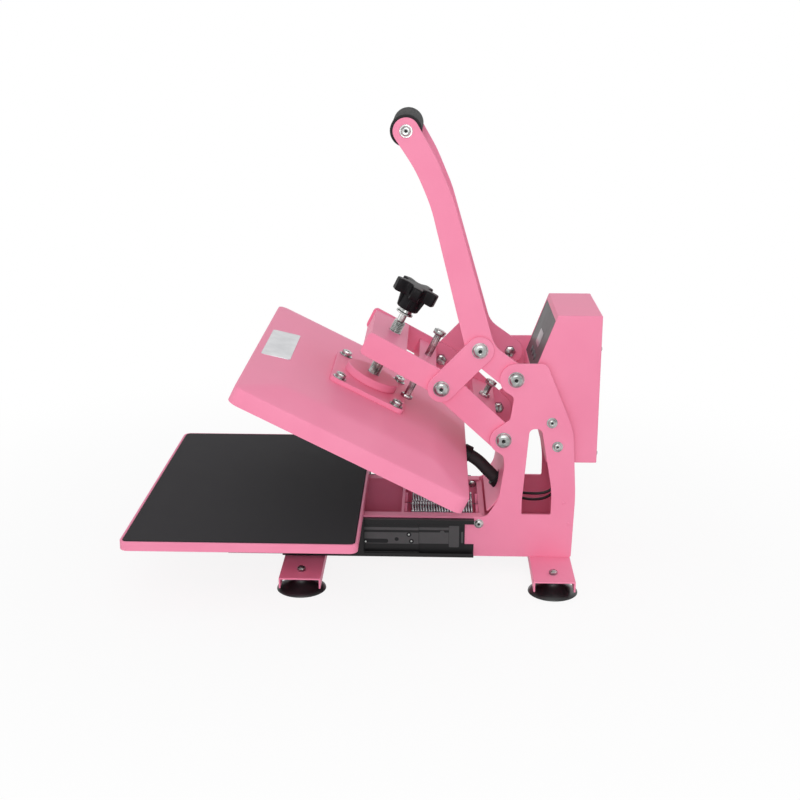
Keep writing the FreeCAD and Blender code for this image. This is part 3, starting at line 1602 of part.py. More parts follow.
board_top = panel_top - panel_sheet - board_gap
board = middle_box(
    "board_slab",
    0,
    panel_low + panel_height / 2,
    board_top - board_sheet,
    panel_width - 20,
    panel_height - 12,
    board_sheet,
)
board_posts = []
for a in (-1, 1):
    for b in (-1, 1):
        board_posts.append(
            rod(
                "board_post",
                "z",
                (panel_width / 2 - 18) * a,
                panel_low + panel_height / 2 + (panel_height / 2 - 12) * b,
                board_top,
                stud_radius,
                board_gap,
            )
        )
node("circuit_board", fuse("circuit_board_solid", [board] + board_posts), PANEL_PLACE)
for k, x in enumerate(BUTTON_X):
    low = board_top + button_travel + button_gap
    cap = rod(
        f"button_cap_{k}", "z", x, buttons_y, low, button_radius, panel_top + button_rise - low
    )
    node(f"button_{k + 1}", group(f"button_{k + 1}_set", [cap]), PANEL_PLACE)

# Power inlet and switch on the rear of the box
inlet_body = middle_box(
    "inlet_body",
    socket_x,
    box_rear - 12,
    socket_z - socket_height / 2 + fit_gap,
    socket_width - fit_gap * 2,
    24,
    socket_height - fit_gap * 2,
)
inlet_flange = box(
    "inlet_flange",
    socket_x - socket_width / 2 - 5,
    box_rear,
    socket_z - socket_height / 2 - 4,
    socket_width + 10,
    socket_flange,
    socket_height + 8,
)
inlet_mouth = box(
    "inlet_mouth",
    socket_x - socket_width / 2 + 2.5,
    box_rear - 16,
    socket_z - socket_height / 2 + 2.5,
    socket_width - 5,
    30,
    socket_height - 5,
)
inlet_pins = []
for k in (-1, 0, 1):
    inlet_pins.append(
        box(
            "inlet_pin",
            socket_x + 7 * k - 1,
            box_rear - 17,
            socket_z - 2 + 3 * (1 - abs(k)),
            2,
            14,
            4,
        )
    )
inlet_shell = cut("inlet_shell", fuse("inlet_solid", [inlet_body, inlet_flange]), [inlet_mouth])
node("power_inlet", group("power_inlet_set", [inlet_shell] + inlet_pins))

bezel_outer = box(
    "bezel_outer",
    rocker_x - rocker_width / 2 - 4,
    box_rear,
    socket_z - rocker_height / 2 - 4,
    rocker_width + 8,
    socket_flange,
    rocker_height + 8,
)
bezel_body = middle_box(
    "bezel_body",
    rocker_x,
    box_rear - 8,
    socket_z - rocker_height / 2 - 2 + fit_gap,
    rocker_width + 4 - fit_gap * 2,
    16,
    rocker_height + 4 - fit_gap * 2,
)
bezel_mouth = box(
    "bezel_mouth",
    rocker_x - rocker_width / 2 - 0.5,
    box_rear - 14,
    socket_z - rocker_height / 2 - 0.5,
    rocker_width + 1,
    30,
    rocker_height + 1,
)
node(
    "switch_bezel",
    cut("switch_bezel_cut", fuse("bezel_solid", [bezel_outer, bezel_body]), [bezel_mouth]),
)
rocker_outline = outline(
    (-10, -4, 2),
    (-1, -rocker_height / 2 + 2.5, 1),
    (2.9, -rocker_height / 2 + 2.5, 1),
    (1.6, 0, 12),
    (2.9, rocker_height / 2 - 2.5, 1),
    (-1, rocker_height / 2 - 2.5, 1),
    (-10, 4, 2),
)
rocker_body = sketched_body("rocker_body", "YZ_Plane", [rocker_outline], rocker_width)
node(
    "power_switch",
    rocker_body,
    Placement(Vector(float(rocker_x - rocker_width / 2), float(box_rear), float(socket_z)), Rotation()),
)

# Cable to the head, its glands and the leads to the control box
head_rear = head_middle + head_depth / 2
cable_height = head_rim + 15.5
gland_outer = rod("head_gland_outer", "y", cable_x, head_rear, cable_height, gland_radius, gland_length)
gland_hole = rod(
    "head_gland_hole", "y", cable_x, head_rear - 1, cable_height, cable_radius + fit_gap, gland_length + 2
)
node("head_gland", cut("head_gland_cut", gland_outer, [gland_hole]), HEAD_PLACE)


def at_rest(y, z):
    """Where a point of the closed head lies with the head open."""
    y, z = turned((y, z), -float(open_angle))
    return Vector(cable_x, hinge_y + y, hinge_z + z)


cable_start = at_rest(head_rear, cable_height)
cable_end = CABLE_EXIT + GLAND_TURN.multVec(Vector(0, 0, gland_length / 2))
cable_points = [
    cable_start,
    at_rest(head_rear + 26, cable_height),
    CABLE_EXIT - GLAND_TURN.multVec(Vector(0, 0, 24)),
    cable_end,
]
node("head_cable", made("head_cable_tube", tube_along(cable_points, cable_radius, "head_cable")))

LEAD_ROUTES = [
    [
        (-5, 0, 0),
        (-5, 11, -11),
        (0, 27, -25),
        (8, 46, -29),
        (15, 67, -27.5),
        (19, 84, -22),
        (22, 98, -10),
        (24, 107, 8),
    ],
    [
        (3, 0, 0),
        (3, 11, -11),
        (10, 28, -14.5),
        (20, 46, -13.5),
        (27, 67, -11.5),
        (30, 84, -7.5),
        (32, 98, 4),
        (34, 107, 22),
    ],
]
leads = []
for k, route in enumerate(LEAD_ROUTES):
    points = [cable_end + Vector(*place) for place in route]
    points.append(Vector(points[-1].x, points[-1].y + 2.5, float(box_bottom)))
    leads.append(made(f"lead_{k}", tube_along(points, lead_radius, f"lead_{k}")))
node("control_leads", group("control_leads_set", leads))

# Blank plate on the sloping front of the cover
bevel_run = cover_bevel
bevel_rise = cover_height - rim_height
bevel_tilt = math.degrees(math.atan2(bevel_rise, bevel_run))
blank = middle_box("blank_sheet", label_x, label_y, 0, label_width, label_height, label_sheet)
bevel_middle_y = head_middle - head_depth / 2 + bevel_run / 2
bevel_middle_z = head_rim + rim_height + bevel_rise / 2
node(
    "blank_plate",
    group("blank_plate_set", [blank]),
    HEAD_PLACE.multiply(
        Placement(
            Vector(0, float(bevel_middle_y), float(bevel_middle_z)),
            Rotation(Vector(1, 0, 0), bevel_tilt),
        )
    ),
)

# Checks and files
doc.recompute()
faults = [f"{f.Name} {f.State}" for f in doc.Objects if {"Invalid", "Error"} & set(f.State)]
for name, feature in nodes.items():
    shape = feature.Shape
    if shape.isNull() or not shape.isValid() or not shape.Solids:
        faults.append(f"{name} has no valid solid")
if faults:
    raise RuntimeError("; ".join(faults))
os.makedirs("parts", exist_ok=True)
for name, feature in nodes.items():
    feature.Shape.exportStep(f"parts/{name}.step")
print(len(nodes), "nodes written")
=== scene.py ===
# %% [markdown]
# A clamshell heat press stands open, with its lower platen pulled out. The CAD model holds its
# sizes and joints. This script gives it rounded edges, soft pieces, finishes, light and a
# camera. Each new piece sits where the CAD model has it, and moves with the same body.

# %% Load the imported model
import json
import math

import bmesh
import bpy
from mathutils import Matrix, Vector


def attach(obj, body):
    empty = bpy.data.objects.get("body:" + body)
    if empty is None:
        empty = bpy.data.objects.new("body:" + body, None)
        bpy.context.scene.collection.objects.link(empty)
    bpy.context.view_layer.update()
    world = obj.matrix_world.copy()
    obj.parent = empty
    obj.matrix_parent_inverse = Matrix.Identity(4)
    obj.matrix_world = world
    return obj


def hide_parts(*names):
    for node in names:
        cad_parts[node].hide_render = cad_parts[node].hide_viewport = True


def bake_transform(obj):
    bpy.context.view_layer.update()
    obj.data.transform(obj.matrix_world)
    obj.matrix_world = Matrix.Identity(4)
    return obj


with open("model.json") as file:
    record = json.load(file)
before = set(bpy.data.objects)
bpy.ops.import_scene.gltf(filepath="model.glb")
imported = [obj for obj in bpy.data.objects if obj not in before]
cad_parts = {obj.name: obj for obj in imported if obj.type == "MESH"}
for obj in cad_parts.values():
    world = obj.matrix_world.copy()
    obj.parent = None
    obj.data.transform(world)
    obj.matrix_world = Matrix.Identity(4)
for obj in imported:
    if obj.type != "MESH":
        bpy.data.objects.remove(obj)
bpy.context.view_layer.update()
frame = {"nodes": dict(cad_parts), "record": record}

record = frame["record"]
body_of = {name: body for body, names in record["behaviour"]["bodies"].items() for name in names}
slot_of = {part["node"]: part["material_slot"] for part in record["subparts"]}

# %% [markdown]
# The camera stands at the operator's right, a little above the press, and looks down at it.
# Its place, lens and angles come from the straight edges of the press in the photograph, so the
# picture has the same perspective. A camera looks along its own -Z, so its matrix holds the
# picture's right, the picture's up and the way back, one in each column.

# %% Set the camera
CAMERA_PLACE = Vector((2.30075, 0.11347, 0.95075))
CAMERA_LENS = 59.18
LOOK_DOWN = math.radians(16.0026)
TURN_ASIDE = math.radians(1.5339)
TILT = math.radians(0.2041)


def linked(name, data):
    """A new object in the scene that holds a mesh, a curve, a lamp or a camera."""
    obj = bpy.data.objects.new(name, data)
    bpy.context.scene.collection.objects.link(obj)
    return obj


ahead = Vector((
    -math.cos(LOOK_DOWN) * math.cos(TURN_ASIDE),
    -math.cos(LOOK_DOWN) * math.sin(TURN_ASIDE),
    -math.sin(LOOK_DOWN),
))
level_right = Vector((-math.sin(TURN_ASIDE), math.cos(TURN_ASIDE), 0))
level_up = level_right.cross(ahead)
picture_right = level_right * math.cos(TILT) + level_up * math.sin(TILT)
picture_up = level_up * math.cos(TILT) - level_right * math.sin(TILT)
camera_data = bpy.data.cameras.new("camera")
camera_data.sensor_width = 36
camera_data.lens = CAMERA_LENS
camera_data.clip_start = 0.05
camera = linked("camera", camera_data)
camera.matrix_world = Matrix.Translation(CAMERA_PLACE) @ Matrix(
    (picture_right, picture_up, -ahead)
).transposed().to_4x4()
bpy.context.scene.camera = camera
bpy.context.scene.view_settings.view_transform = "Standard"

# %% [markdown]
# A product picture has soft light from large panels and a white ground. Large area lamps give
# soft shadows, a low one reaches under the head, and a small one beside the camera reaches into
# the base and the column. The world gives the fill, and shows white only where the camera looks
# at it or where a shiny surface mirrors it, so the press itself isn't washed out.

# %% Light the press
PRESS_MIDDLE = Vector((0, 0, 0.3))


def area_lamp(name, place, size, power):
    """A square soft lamp that faces the middle of the press."""
    data = bpy.data.lights.new(name, "AREA")
    data.shape = "SQUARE"
    data.size = size
    data.energy = power
    lamp = linked(name, data)
    lamp.location = place
    lamp.rotation_euler = (PRESS_MIDDLE - Vector(place)).to_track_quat("-Z", "Y").to_euler()


def put(node, **values):
    """Sets some inputs of a node. An underscore stands for a space in an input's name."""
    for socket, value in values.items():
        node.inputs[socket.replace("_", " ")].default_value = value


def seen_or_mirrored(nodes, links):
    """A value of 1 for rays from the camera, from a mirroring surface or through glass."""
    path = nodes.new("ShaderNodeLightPath")
    found = path.outputs["Is Camera Ray"]
    for kind in ("Is Glossy Ray", "Is Transmission Ray"):
        either = nodes.new("ShaderNodeMath")
        either.operation = "MAXIMUM"
        links.new(found, either.inputs[0])
        links.new(path.outputs[kind], either.inputs[1])
        found = either.outputs[0]
    return found


area_lamp("lamp_top", (0.4, -0.3, 2.4), 1.8, 4)
area_lamp("lamp_right", (2.6, 0.1, 1.9), 1.8, 17.5)
area_lamp("lamp_low", (2.8, -0.1, 0.75), 1.2, 3.5)
area_lamp("lamp_beside", (2.6, 0.12, 1.0), 0.5, 7)
area_lamp("lamp_front", (0.5, -2.6, 1.1), 1.4, 6)
area_lamp("lamp_behind", (-1.6, 1.8, 1.6), 1.4, 6)

FILL = 0.68
world = bpy.data.worlds.new("studio")
bpy.context.scene.world = world
world.use_nodes = True
nodes = world.node_tree.nodes
links = world.node_tree.links
nodes.clear()
fill = nodes.new("ShaderNodeBackground")
put(fill, Strength=FILL)
white = nodes.new("ShaderNodeBackground")
put(white, Color=(1, 1, 1, 1), Strength=1)
mix = nodes.new("ShaderNodeMixShader")
sky = nodes.new("ShaderNodeOutputWorld")
links.new(seen_or_mirrored(nodes, links), mix.inputs["Fac"])
links.new(fill.outputs[0], mix.inputs[1])
links.new(white.outputs[0], mix.inputs[2])
links.new(mix.outputs[0], sky.inputs["Surface"])

# %% [markdown]
# The ground is a large plain sheet. To the camera it is mostly a white glow with a share of its
# lit colour, so the ground looks white and still shows the soft shadow of the press. Farther
# out it is white alone, so it has no visible end.

# %% Lay the ground
GROUND_SIZE = 30
GROUND_GLOW = (0.88, 1.0)
GLOW_RADII = (0.45, 1.4)
GROUND_SHADE = (0.92, 0.92, 0.92, 1)


def meshed(name, shape):
    """A new mesh that takes over the faces of a shape."""
    mesh = bpy.data.meshes.new(name)
    shape.to_mesh(mesh)
    shape.free()
    return mesh


def ground_material():
    """A lit sheet that glows white to the camera, more so farther out."""
    material = bpy.data.materials.new("studio_ground")
    material.use_nodes = True
    nodes = material.node_tree.nodes
    links = material.node_tree.links
    nodes.clear()
    lit = nodes.new("ShaderNodeBsdfDiffuse")
    put(lit, Color=GROUND_SHADE)
    glow = nodes.new("ShaderNodeEmission")
    place = nodes.new("ShaderNodeTexCoord")
    distance = nodes.new("ShaderNodeVectorMath")
    distance.operation = "LENGTH"
    growth = nodes.new("ShaderNodeMapRange")
    growth.interpolation_type = "SMOOTHSTEP"
    put(growth, From_Min=GLOW_RADII[0], From_Max=GLOW_RADII[1])
    put(growth, To_Min=GROUND_GLOW[0], To_Max=GROUND_GLOW[1])
    share = nodes.new("ShaderNodeMath")
    share.operation = "MULTIPLY"
    mix = nodes.new("ShaderNodeMixShader")
    out = nodes.new("ShaderNodeOutputMaterial")
    links.new(place.outputs["Object"], distance.inputs[0])
    links.new(distance.outputs["Value"], growth.inputs["Value"])
    links.new(seen_or_mirrored(nodes, links), share.inputs[0])
    links.new(growth.outputs["Result"], share.inputs[1])
    links.new(share.outputs[0], mix.inputs["Fac"])
    links.new(lit.outputs[0], mix.inputs[1])
    links.new(glow.outputs[0], mix.inputs[2])
    links.new(mix.outputs[0], out.inputs["Surface"])
    return material


shape = bmesh.new()
bmesh.ops.create_grid(shape, x_segments=1, y_segments=1, size=GROUND_SIZE)
ground = linked("ground", meshed("ground", shape))
ground.data.materials.append(ground_material())

# %% [markdown]
# Each finish on the press has fine detail: orange peel in the paint, fine lines in the steel,
# a grain in rubber and plastic. Each kind of detail could be drawn again in every material. It
# is made once here, as a node group with a scale, that gives a tone and a height. Each material
# places the group and decides how far the tone and the height change its surface.

# %% Make the node groups for fine detail
def detail_group(name):
    """An empty group with a Scale input and the outputs Tone and Height."""
    group = bpy.data.node_groups.new(name, "ShaderNodeTree")
    scale = group.interface.new_socket("Scale", in_out="INPUT", socket_type="NodeSocketFloat")
    scale.default_value = 100
    group.interface.new_socket("Tone", in_out="OUTPUT", socket_type="NodeSocketFloat")
    group.interface.new_socket("Height", in_out="OUTPUT", socket_type="NodeSocketFloat")
    return group


def noise(group, coordinates, scale, detail=2, roughness=0.5, share=1):
    """A noise texture at a share of the group's scale."""
    times = group.nodes.new("ShaderNodeMath")
    times.operation = "MULTIPLY"
    times.inputs[1].default_value = share
    group.links.new(scale, times.inputs[0])
    texture = group.nodes.new("ShaderNodeTexNoise")
    put(texture, Detail=detail, Roughness=roughness)
    group.links.new(coordinates, texture.inputs["Vector"])
    group.links.new(times.outputs[0], texture.inputs["Scale"])
    return texture.outputs["Fac"]


def started(group):
    """The group's scale and its object coordinates."""
    inside = group.nodes.new("NodeGroupInput")
    place = group.nodes.new("ShaderNodeTexCoord")
    return inside.outputs["Scale"], place.outputs["Object"]


def put_out(group, tone, height):
    """Leads a tone and a height to the outputs of the group."""
    outside = group.nodes.new("NodeGroupOutput")
    group.links.new(tone, outside.inputs["Tone"])
    group.links.new(height, outside.inputs["Height"])


def contrast(group, value, low, high):
    """Stretches the middle of a noise to the whole range from 0 to 1."""
    stretch = group.nodes.new("ShaderNodeMapRange")
    put(stretch, From_Min=low, From_Max=high)
    group.links.new(value, stretch.inputs["Value"])
    return stretch.outputs["Result"]


def added(group, first, second, share):
    """The first value plus a share of the second."""
    total = group.nodes.new("ShaderNodeMath")
    total.operation = "MULTIPLY_ADD"
    total.inputs[1].default_value = share
    group.links.new(second, total.inputs[0])
    group.links.new(first, total.inputs[2])
    return total.outputs[0]


orange_peel = detail_group("orange_peel")
scale, place = started(orange_peel)
ripple = noise(orange_peel, place, scale, detail=1)
dust = noise(orange_peel, place, scale, detail=3, share=4.5)
drift = noise(orange_peel, place, scale, detail=2, share=0.035)
put_out(
    orange_peel,
    contrast(orange_peel, drift, 0.35, 0.65),
    added(orange_peel, ripple, dust, 0.12),
)

# %% [markdown]
# Rolled and turned metal shows fine lines in one direction. A noise that is squeezed much more
# across than along gives such lines. The same noise can't follow a turned part round, but on
# small fasteners it reads as the faint marks of plating.

# %% Make the metal and the moulded grain
metal_lines = detail_group("metal_lines")
scale, place = started(metal_lines)
squeeze = metal_lines.nodes.new("ShaderNodeMapping")
squeeze.inputs["Scale"].default_value = (0.06, 1, 1)
metal_lines.links.new(place, squeeze.inputs["Vector"])
lines = noise(metal_lines, squeeze.outputs["Vector"], scale, detail=4, roughness=0.7)
stains = noise(metal_lines, place, scale, detail=3, share=0.08)
put_out(
    metal_lines,
    contrast(metal_lines, stains, 0.3, 0.7),
    contrast(metal_lines, lines, 0.25, 0.75),
)

moulded_grain = detail_group("moulded_grain")
scale, place = started(moulded_grain)
pits = noise(moulded_grain, place, scale, detail=3, roughness=0.6)
cloud = noise(moulded_grain, place, scale, detail=2, share=0.02)
put_out(
    moulded_grain,
    contrast(moulded_grain, added(moulded_grain, cloud, pits, 0.25), 0.4, 0.8),
    contrast(moulded_grain, pits, 0.3, 0.7),
)
print("node groups:", [group.name for group in bpy.data.node_groups])

# %% [markdown]
# One helper builds every opaque finish. The tone runs between two close colours and between two
# degrees of roughness, and the height feeds a Bump node. The shader itself stays in each
# material, with its own constants for metal, coat and sheen.

# %% Make the finishes, one for each material slot
def linear(red, green, blue):
    """A colour as a screen shows it, from 0 to 255, in the scale that shaders use."""
    shades = []
    for value in (red, green, blue):
        share = value / 255
        shades.append(share / 12.92 if share <= 0.04045 else ((share + 0.055) / 1.055) ** 2.4)
    return (*shades, 1)


def finish(name, detail, scale, colours, roughness, relief, **constants):
    """Adds a material whose colour, roughness and relief follow a detail group."""
    material = bpy.data.materials.new(name)
    material.use_nodes = True
    nodes = material.node_tree.nodes
    links = material.node_tree.links
    shader = nodes["Principled BSDF"]
    group = nodes.new("ShaderNodeGroup")
    group.node_tree = detail
    put(group, Scale=scale)
    colour = nodes.new("ShaderNodeMix")
    colour.data_type = "RGBA"
    colour.inputs["A"].default_value = linear(*colours[0])
    colour.inputs["B"].default_value = linear(*colours[1])
    gloss = nodes.new("ShaderNodeMapRange")
    put(gloss, To_Min=roughness[0], To_Max=roughness[1])
    bump = nodes.new("ShaderNodeBump")
    put(bump, Strength=1, Distance=relief)
    links.new(group.outputs["Tone"], colour.inputs["Factor"])
    links.new(group.outputs["Tone"], gloss.inputs["Value"])
    links.new(group.outputs["Height"], bump.inputs["Height"])
    links.new(colour.outputs["Result"], shader.inputs["Base Color"])
    links.new(gloss.outputs["Result"], shader.inputs["Roughness"])
    links.new(bump.outputs["Normal"], shader.inputs["Normal"])
    put(shader, **constants)
    FINISHES[name] = material


PINK = ((245, 143, 175), (248, 149, 180))
FINISHES = {}
finish(
    "pink_paint", orange_peel, 260, PINK, (0.42, 0.5), 0.00006,
    Coat_Weight=0.05, Coat_Roughness=0.2, Specular_IOR_Level=0.12,
)
finish(
    "black_paint", orange_peel, 300, ((17, 16, 18), (23, 22, 24)), (0.4, 0.5), 0.00005,
    Specular_IOR_Level=0.3,
)
finish(
    "zinc", metal_lines, 900, ((122, 125, 124), (204, 206, 204)), (0.16, 0.3), 0.00002,
    Metallic=1.0,
)
finish(
    "spring_steel", metal_lines, 700, ((150, 152, 155), (205, 207, 210)), (0.2, 0.35), 0.00002,
    Metallic=1.0,
)
finish(
    "aluminium", metal_lines, 500, ((192, 193, 196), (214, 215, 217)), (0.3, 0.42), 0.00002,
    Metallic=1.0,
)
finish(
    "silicone", moulded_grain, 1400, ((33, 31, 34), (39, 37, 40)), (0.78, 0.84), 0.00004,
    Specular_IOR_Level=0.3,
)
finish("foot_rubber", moulded_grain, 1200, ((14, 14, 15), (26, 26, 28)), (0.28, 0.45), 0.00004)
finish("grip_foam", moulded_grain, 900, ((15, 15, 16), (34, 34, 36)), (0.75, 0.92), 0.00025)
finish(
    "black_plastic", moulded_grain, 1500, ((13, 13, 15), (22, 22, 25)), (0.4, 0.5), 0.00006,
    Specular_IOR_Level=0.25,
)
finish(
    "knob_plastic", moulded_grain, 1500, ((12, 11, 14), (18, 17, 20)), (0.34, 0.44), 0.00003,
    Specular_IOR_Level=0.15,
)
finish("panel_plastic", moulded_grain, 1800, ((62, 60, 62), (70, 68, 70)), (0.42, 0.5), 0.00001)
finish(
    "display_glass", moulded_grain, 300, ((150, 146, 152), (172, 168, 174)), (0.3, 0.36), 0.0,
    Coat_Weight=0.1,
)
finish("button_plastic", moulded_grain, 1200, ((78, 77, 80), (90, 89, 92)), (0.4, 0.5), 0.00002)
finish("board_plastic", moulded_grain, 700, ((18, 74, 38), (26, 92, 50)), (0.35, 0.5), 0.00003)
finish("cable_sleeve", moulded_grain, 900, ((22, 20, 22), (38, 34, 36)), (0.6, 0.8), 0.0002)
finish(
    "insulation_wool", moulded_grain, 400, ((205, 198, 182), (228, 222, 208)), (0.85, 0.95), 0.0006
)
finish("lead_plastic", moulded_grain, 1500, ((18, 18, 20), (28, 28, 30)), (0.35, 0.48), 0.00003)
print(len(FINISHES), "finishes")

# %% [markdown]
# A sheet that was cut and bent has no knife edges: they are broken by the tool and rounded by
# the paint. A copy of a CAD piece keeps its exact shape. Its loose triangles are merged, flat
# areas become single faces, and a Bevel modifier rounds only the sharp edges. That catches the
# light along each edge, which is what makes a plate look real.

# %% Round the edges of the plates
MM = 0.001
TO_METRES = Matrix.Scale(MM, 4)
JOIN_DISTANCE = 0.05 * MM
FLAT_ANGLE = math.radians(0.8)
SHARP_ANGLE = math.radians(32)
CORNER_ANGLE = 1.2


def settle(obj, body, slot, *nodes):
    """Gives a piece its finish, its body and the CAD nodes that it stands for."""
    obj.data.materials.clear()
    obj.data.materials.append(FINISHES[slot])
    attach(obj, body)
    if nodes:
        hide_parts(*nodes)
    return obj


def face_outwards(shape):
    """Makes all the faces of a shape agree on which side is out."""
    bmesh.ops.recalc_face_normals(shape, faces=shape.faces)


def smooth_faces(mesh):
    """Shades every face of a mesh as part of one smooth surface."""
    for face in mesh.polygons:
        face.use_smooth = True


def bevel(shape, geometry, width, segments, affect="EDGES"):
    """Rounds some edges or corners of a shape."""
    bmesh.ops.bevel(
        shape, geom=geometry, offset=width, segments=segments, profile=0.5, affect=affect,
        material=-1,
    )


def level_faces(obj):
    """Shades each large face by its own direction, so that only the narrow bends curve."""
    level = obj.modifiers.new("level_faces", "WEIGHTED_NORMAL")
    level.mode = "FACE_AREA"
    level.weight = 100
    level.keep_sharp = True


def dressed(node, shape, ending, width, segments=2):
    """A shape with rounded edges and flat faces that stands for a CAD node."""
    obj = linked(node + ending, meshed(node + ending, shape))
    smooth_faces(obj.data)
    rounding = obj.modifiers.new("rounded_edges", "BEVEL")
    rounding.limit_method = "ANGLE"
    rounding.angle_limit = SHARP_ANGLE
    rounding.width = width
    rounding.segments = segments
    rounding.use_clamp_overlap = False
    level_faces(obj)
    settle(obj, body_of[node], slot_of[node], node)


def merged(node):
    """The mesh of a CAD node, with its triangles joined into whole faces."""
    shape = bmesh.new()
    shape.from_mesh(frame["nodes"][node].data)
    bmesh.ops.remove_doubles(shape, verts=shape.verts, dist=JOIN_DISTANCE)
    bmesh.ops.dissolve_limit(shape, angle_limit=FLAT_ANGLE, verts=shape.verts, edges=shape.edges)
    return shape


def eased(node, width, segments=2):
    """A copy of a CAD node with rounded edges, in its own finish."""
    dressed(node, merged(node), "_eased", width, segments)


for plate in ("side_plate", "arm_plate", "link", "handle_plate"):
    for side in ("right", "left"):
        eased(f"{plate}_{side}", 0.6 * MM)
for node in ("base_pan", "rear_panel", "spring_lever_bar", "spring_anchor"):
    eased(node, 0.5 * MM)
eased("front_web", 0.08 * MM)
for node in ("front_leg", "rear_leg", "arm_crossbars", "mounting_plate"):
    eased(node, 1.0 * MM, 3)
eased("screw_block", 0.8 * MM, 3)
eased("thrust_ring", 2.0 * MM, 3)

BOX_SIDE = 98.5 * MM
BOX_BEND = 1.8 * MM
BOX_SCREWS = ((319.2, 283.7), (330.2, 240.3))
CLEAR_OF_SCREW = 8 * MM


def folded_box(node):
    """The control box as folded sheet: its long outer edges are bends and not corners."""
    shape = merged(node)
    folds = []
    for edge in shape.edges:
        ends = [point.co for point in edge.verts]
        at_side = all(abs(abs(place.x) - BOX_SIDE) < 0.1 * MM for place in ends)
        clear = all(
            math.hypot(place.y - y * MM, place.z - z * MM) > CLEAR_OF_SCREW
            for place in ends
            for y, z in BOX_SCREWS
        )
        bent = len(edge.link_faces) == 2 and edge.calc_face_angle(0) > CORNER_ANGLE
        if at_side and clear and bent:
            folds.append(edge)
    bevel(shape, folds, BOX_BEND, 4)
    print(len(folds), "folds of the control box")
    dressed(node, shape, "_folded", 0.5 * MM)


folded_box("control_box")
print("plates and blocks have rounded edges")

# %% [markdown]
# The tray is a shallow painted pan, and the pad that lies in it is dark silicone with soft
# edges. Both keep the CAD shape, with a wider rounding on the pad. The slides and brackets are
# black pressed steel.

# %% Tray, pad, slides and small sheet parts
eased("tray", 1.3 * MM, 3)
eased("silicone_pad", 1.6 * MM, 3)
for node in ("slides_fixed", "slide_middles", "slide_inners", "tray_brackets", "tray_screws"):
    eased(node, 0.4 * MM)
for node in ("head_gland", "column_gland", "power_inlet", "switch_bezel", "power_switch"):
    eased(node, 0.6 * MM)
for node in ("tray_board", "heating_platen", "insulation", "circuit_board"):
    eased(node, 0.5 * MM)
print("tray, slides and small parts have rounded edges")

# %% [markdown]
# Pressed slides have long ribs and a smooth band along the middle, which catch the light. Thin
# strips, set on the flat of each member, show them: the grey strips are painted highlights along
# the ribs and the band, and the black strips are painted shade in the holes and openings. They
# are thinner than the running gap, so they pass each other when the drawer moves.

# %% Painted highlights of bands and ribs, painted shade of openings, and rivets of the slides
def joined(name, parts, place):
    """One mesh of all the parts, which were built in millimetres, in its place in metres."""
    whole = bmesh.new()
    for part in parts:
        single = meshed("part", part)
        whole.from_mesh(single)
        bpy.data.meshes.remove(single)
    whole.transform(place)
    return meshed(name, whole)


def block(size, middle=(0, 0, 0)):
    """A box of a given size round its middle."""
    shape = bmesh.new()
    bmesh.ops.create_cube(shape, size=1)
    bmesh.ops.scale(shape, vec=size, verts=shape.verts)
    bmesh.ops.translate(shape, vec=middle, verts=shape.verts)
    return shape


def edges_along(shape, axis, least):
    """The edges that run along an axis for more than a given length."""
    found = []
    for edge in shape.edges:
        start, end = edge.verts
        if abs(start.co[axis] - end.co[axis]) > least:
            found.append(edge)
    return found


def strip(front, rear, low, high, thickness, corner, face, side):
    """A thin flat strip on the outer face of a slide member."""
    shape = block((thickness, rear - front, high - low))
    if corner:
        bevel(shape, edges_along(shape, 0, thickness / 2), corner, 5)
    middle = (side * (face + thickness / 2), (front + rear) / 2, (low + high) / 2)
    bmesh.ops.translate(shape, vec=middle, verts=shape.verts)
    return shape


FIXED_FACE = 111.8
MIDDLE_FACE = 113.9
# Each row is a strip: front, rear, low, high, thickness and the radius of its corners.
SLIDE_DETAILS = {
    # grey strips: painted highlights along the ribs, the band and the end boss
    ("slide_bands", "base", "panel_plastic", FIXED_FACE): (
        (-150, 142.5, 56.5, 78, 0.2, 0),
        (-150, 142.5, 82.5, 87.5, 0.2, 0),
        (143, 161, 50, 91, 0.2, 2),
        (126.8, 135.2, 73.3, 81.7, 0.24, 4.1),
        (164.8, 168.4, 58, 80, 0.25, 1.7),
    ),
    # black strip: painted shade in the hole at the end of the fixed member
    ("slide_stops", "base", "black_plastic", FIXED_FACE): (
        (161.6, 170.6, 49.5, 87, 0.15, 4),
    ),
    # grey strips: painted highlights along the ribs and the band
    ("middle_bands", "slide_middles", "panel_plastic", MIDDLE_FACE): (
        (-250, 89, 56.5, 78, 0.2, 0),
        (-250, 89, 82.5, 87.5, 0.2, 0),
    ),
    # black strips: painted shade in the openings of the middle member
    ("middle_openings", "slide_middles", "black_plastic", MIDDLE_FACE): (
        (-11, 34.7, 57.5, 65.5, 0.22, 3.5),
        (46.2, 53.4, 61.6, 68.8, 0.22, 3.5),
        (67.2, 76.0, 69.6, 78.4, 0.23, 4.3),
        (71.7, 80.5, 57.0, 65.8, 0.23, 4.3),
    ),
    ("middle_rivets", "slide_middles", "zinc", MIDDLE_FACE): (
        (70.0, 73.2, 72.4, 75.6, 0.26, 1.5),
        (74.5, 77.7, 59.8, 63.0, 0.26, 1.5),
        (-7.1, -3.9, 58.2, 61.4, 0.26, 1.5),
    ),
}
for (name, body, slot, face), rows in SLIDE_DETAILS.items():
    strips = [strip(*row, face, side) for side in (1, -1) for row in rows]
    settle(linked(name, joined(name, strips, TO_METRES)), body, slot)
print("slides have their bands")

# %% [markdown]
# The pieces of the head were measured with the head closed, from the head hinge. A matrix turns
# such a place into the place at rest, with the head open. Sizes are written in millimetres and
# become metres in the same matrix.

# %% Set the frames that the pieces are built in
def at(x, y, z):
    """A move by three lengths."""
    return Matrix.Translation((x, y, z))


def leaning(angle):
    """A turn about X that raises the rear end."""
    return Matrix.Rotation(angle, 4, "X")


def towards(side):
    """Turns a part that was built along Z so that it points to the right or the left."""
    return Matrix.Rotation(math.radians(90 * side), 4, "Y")


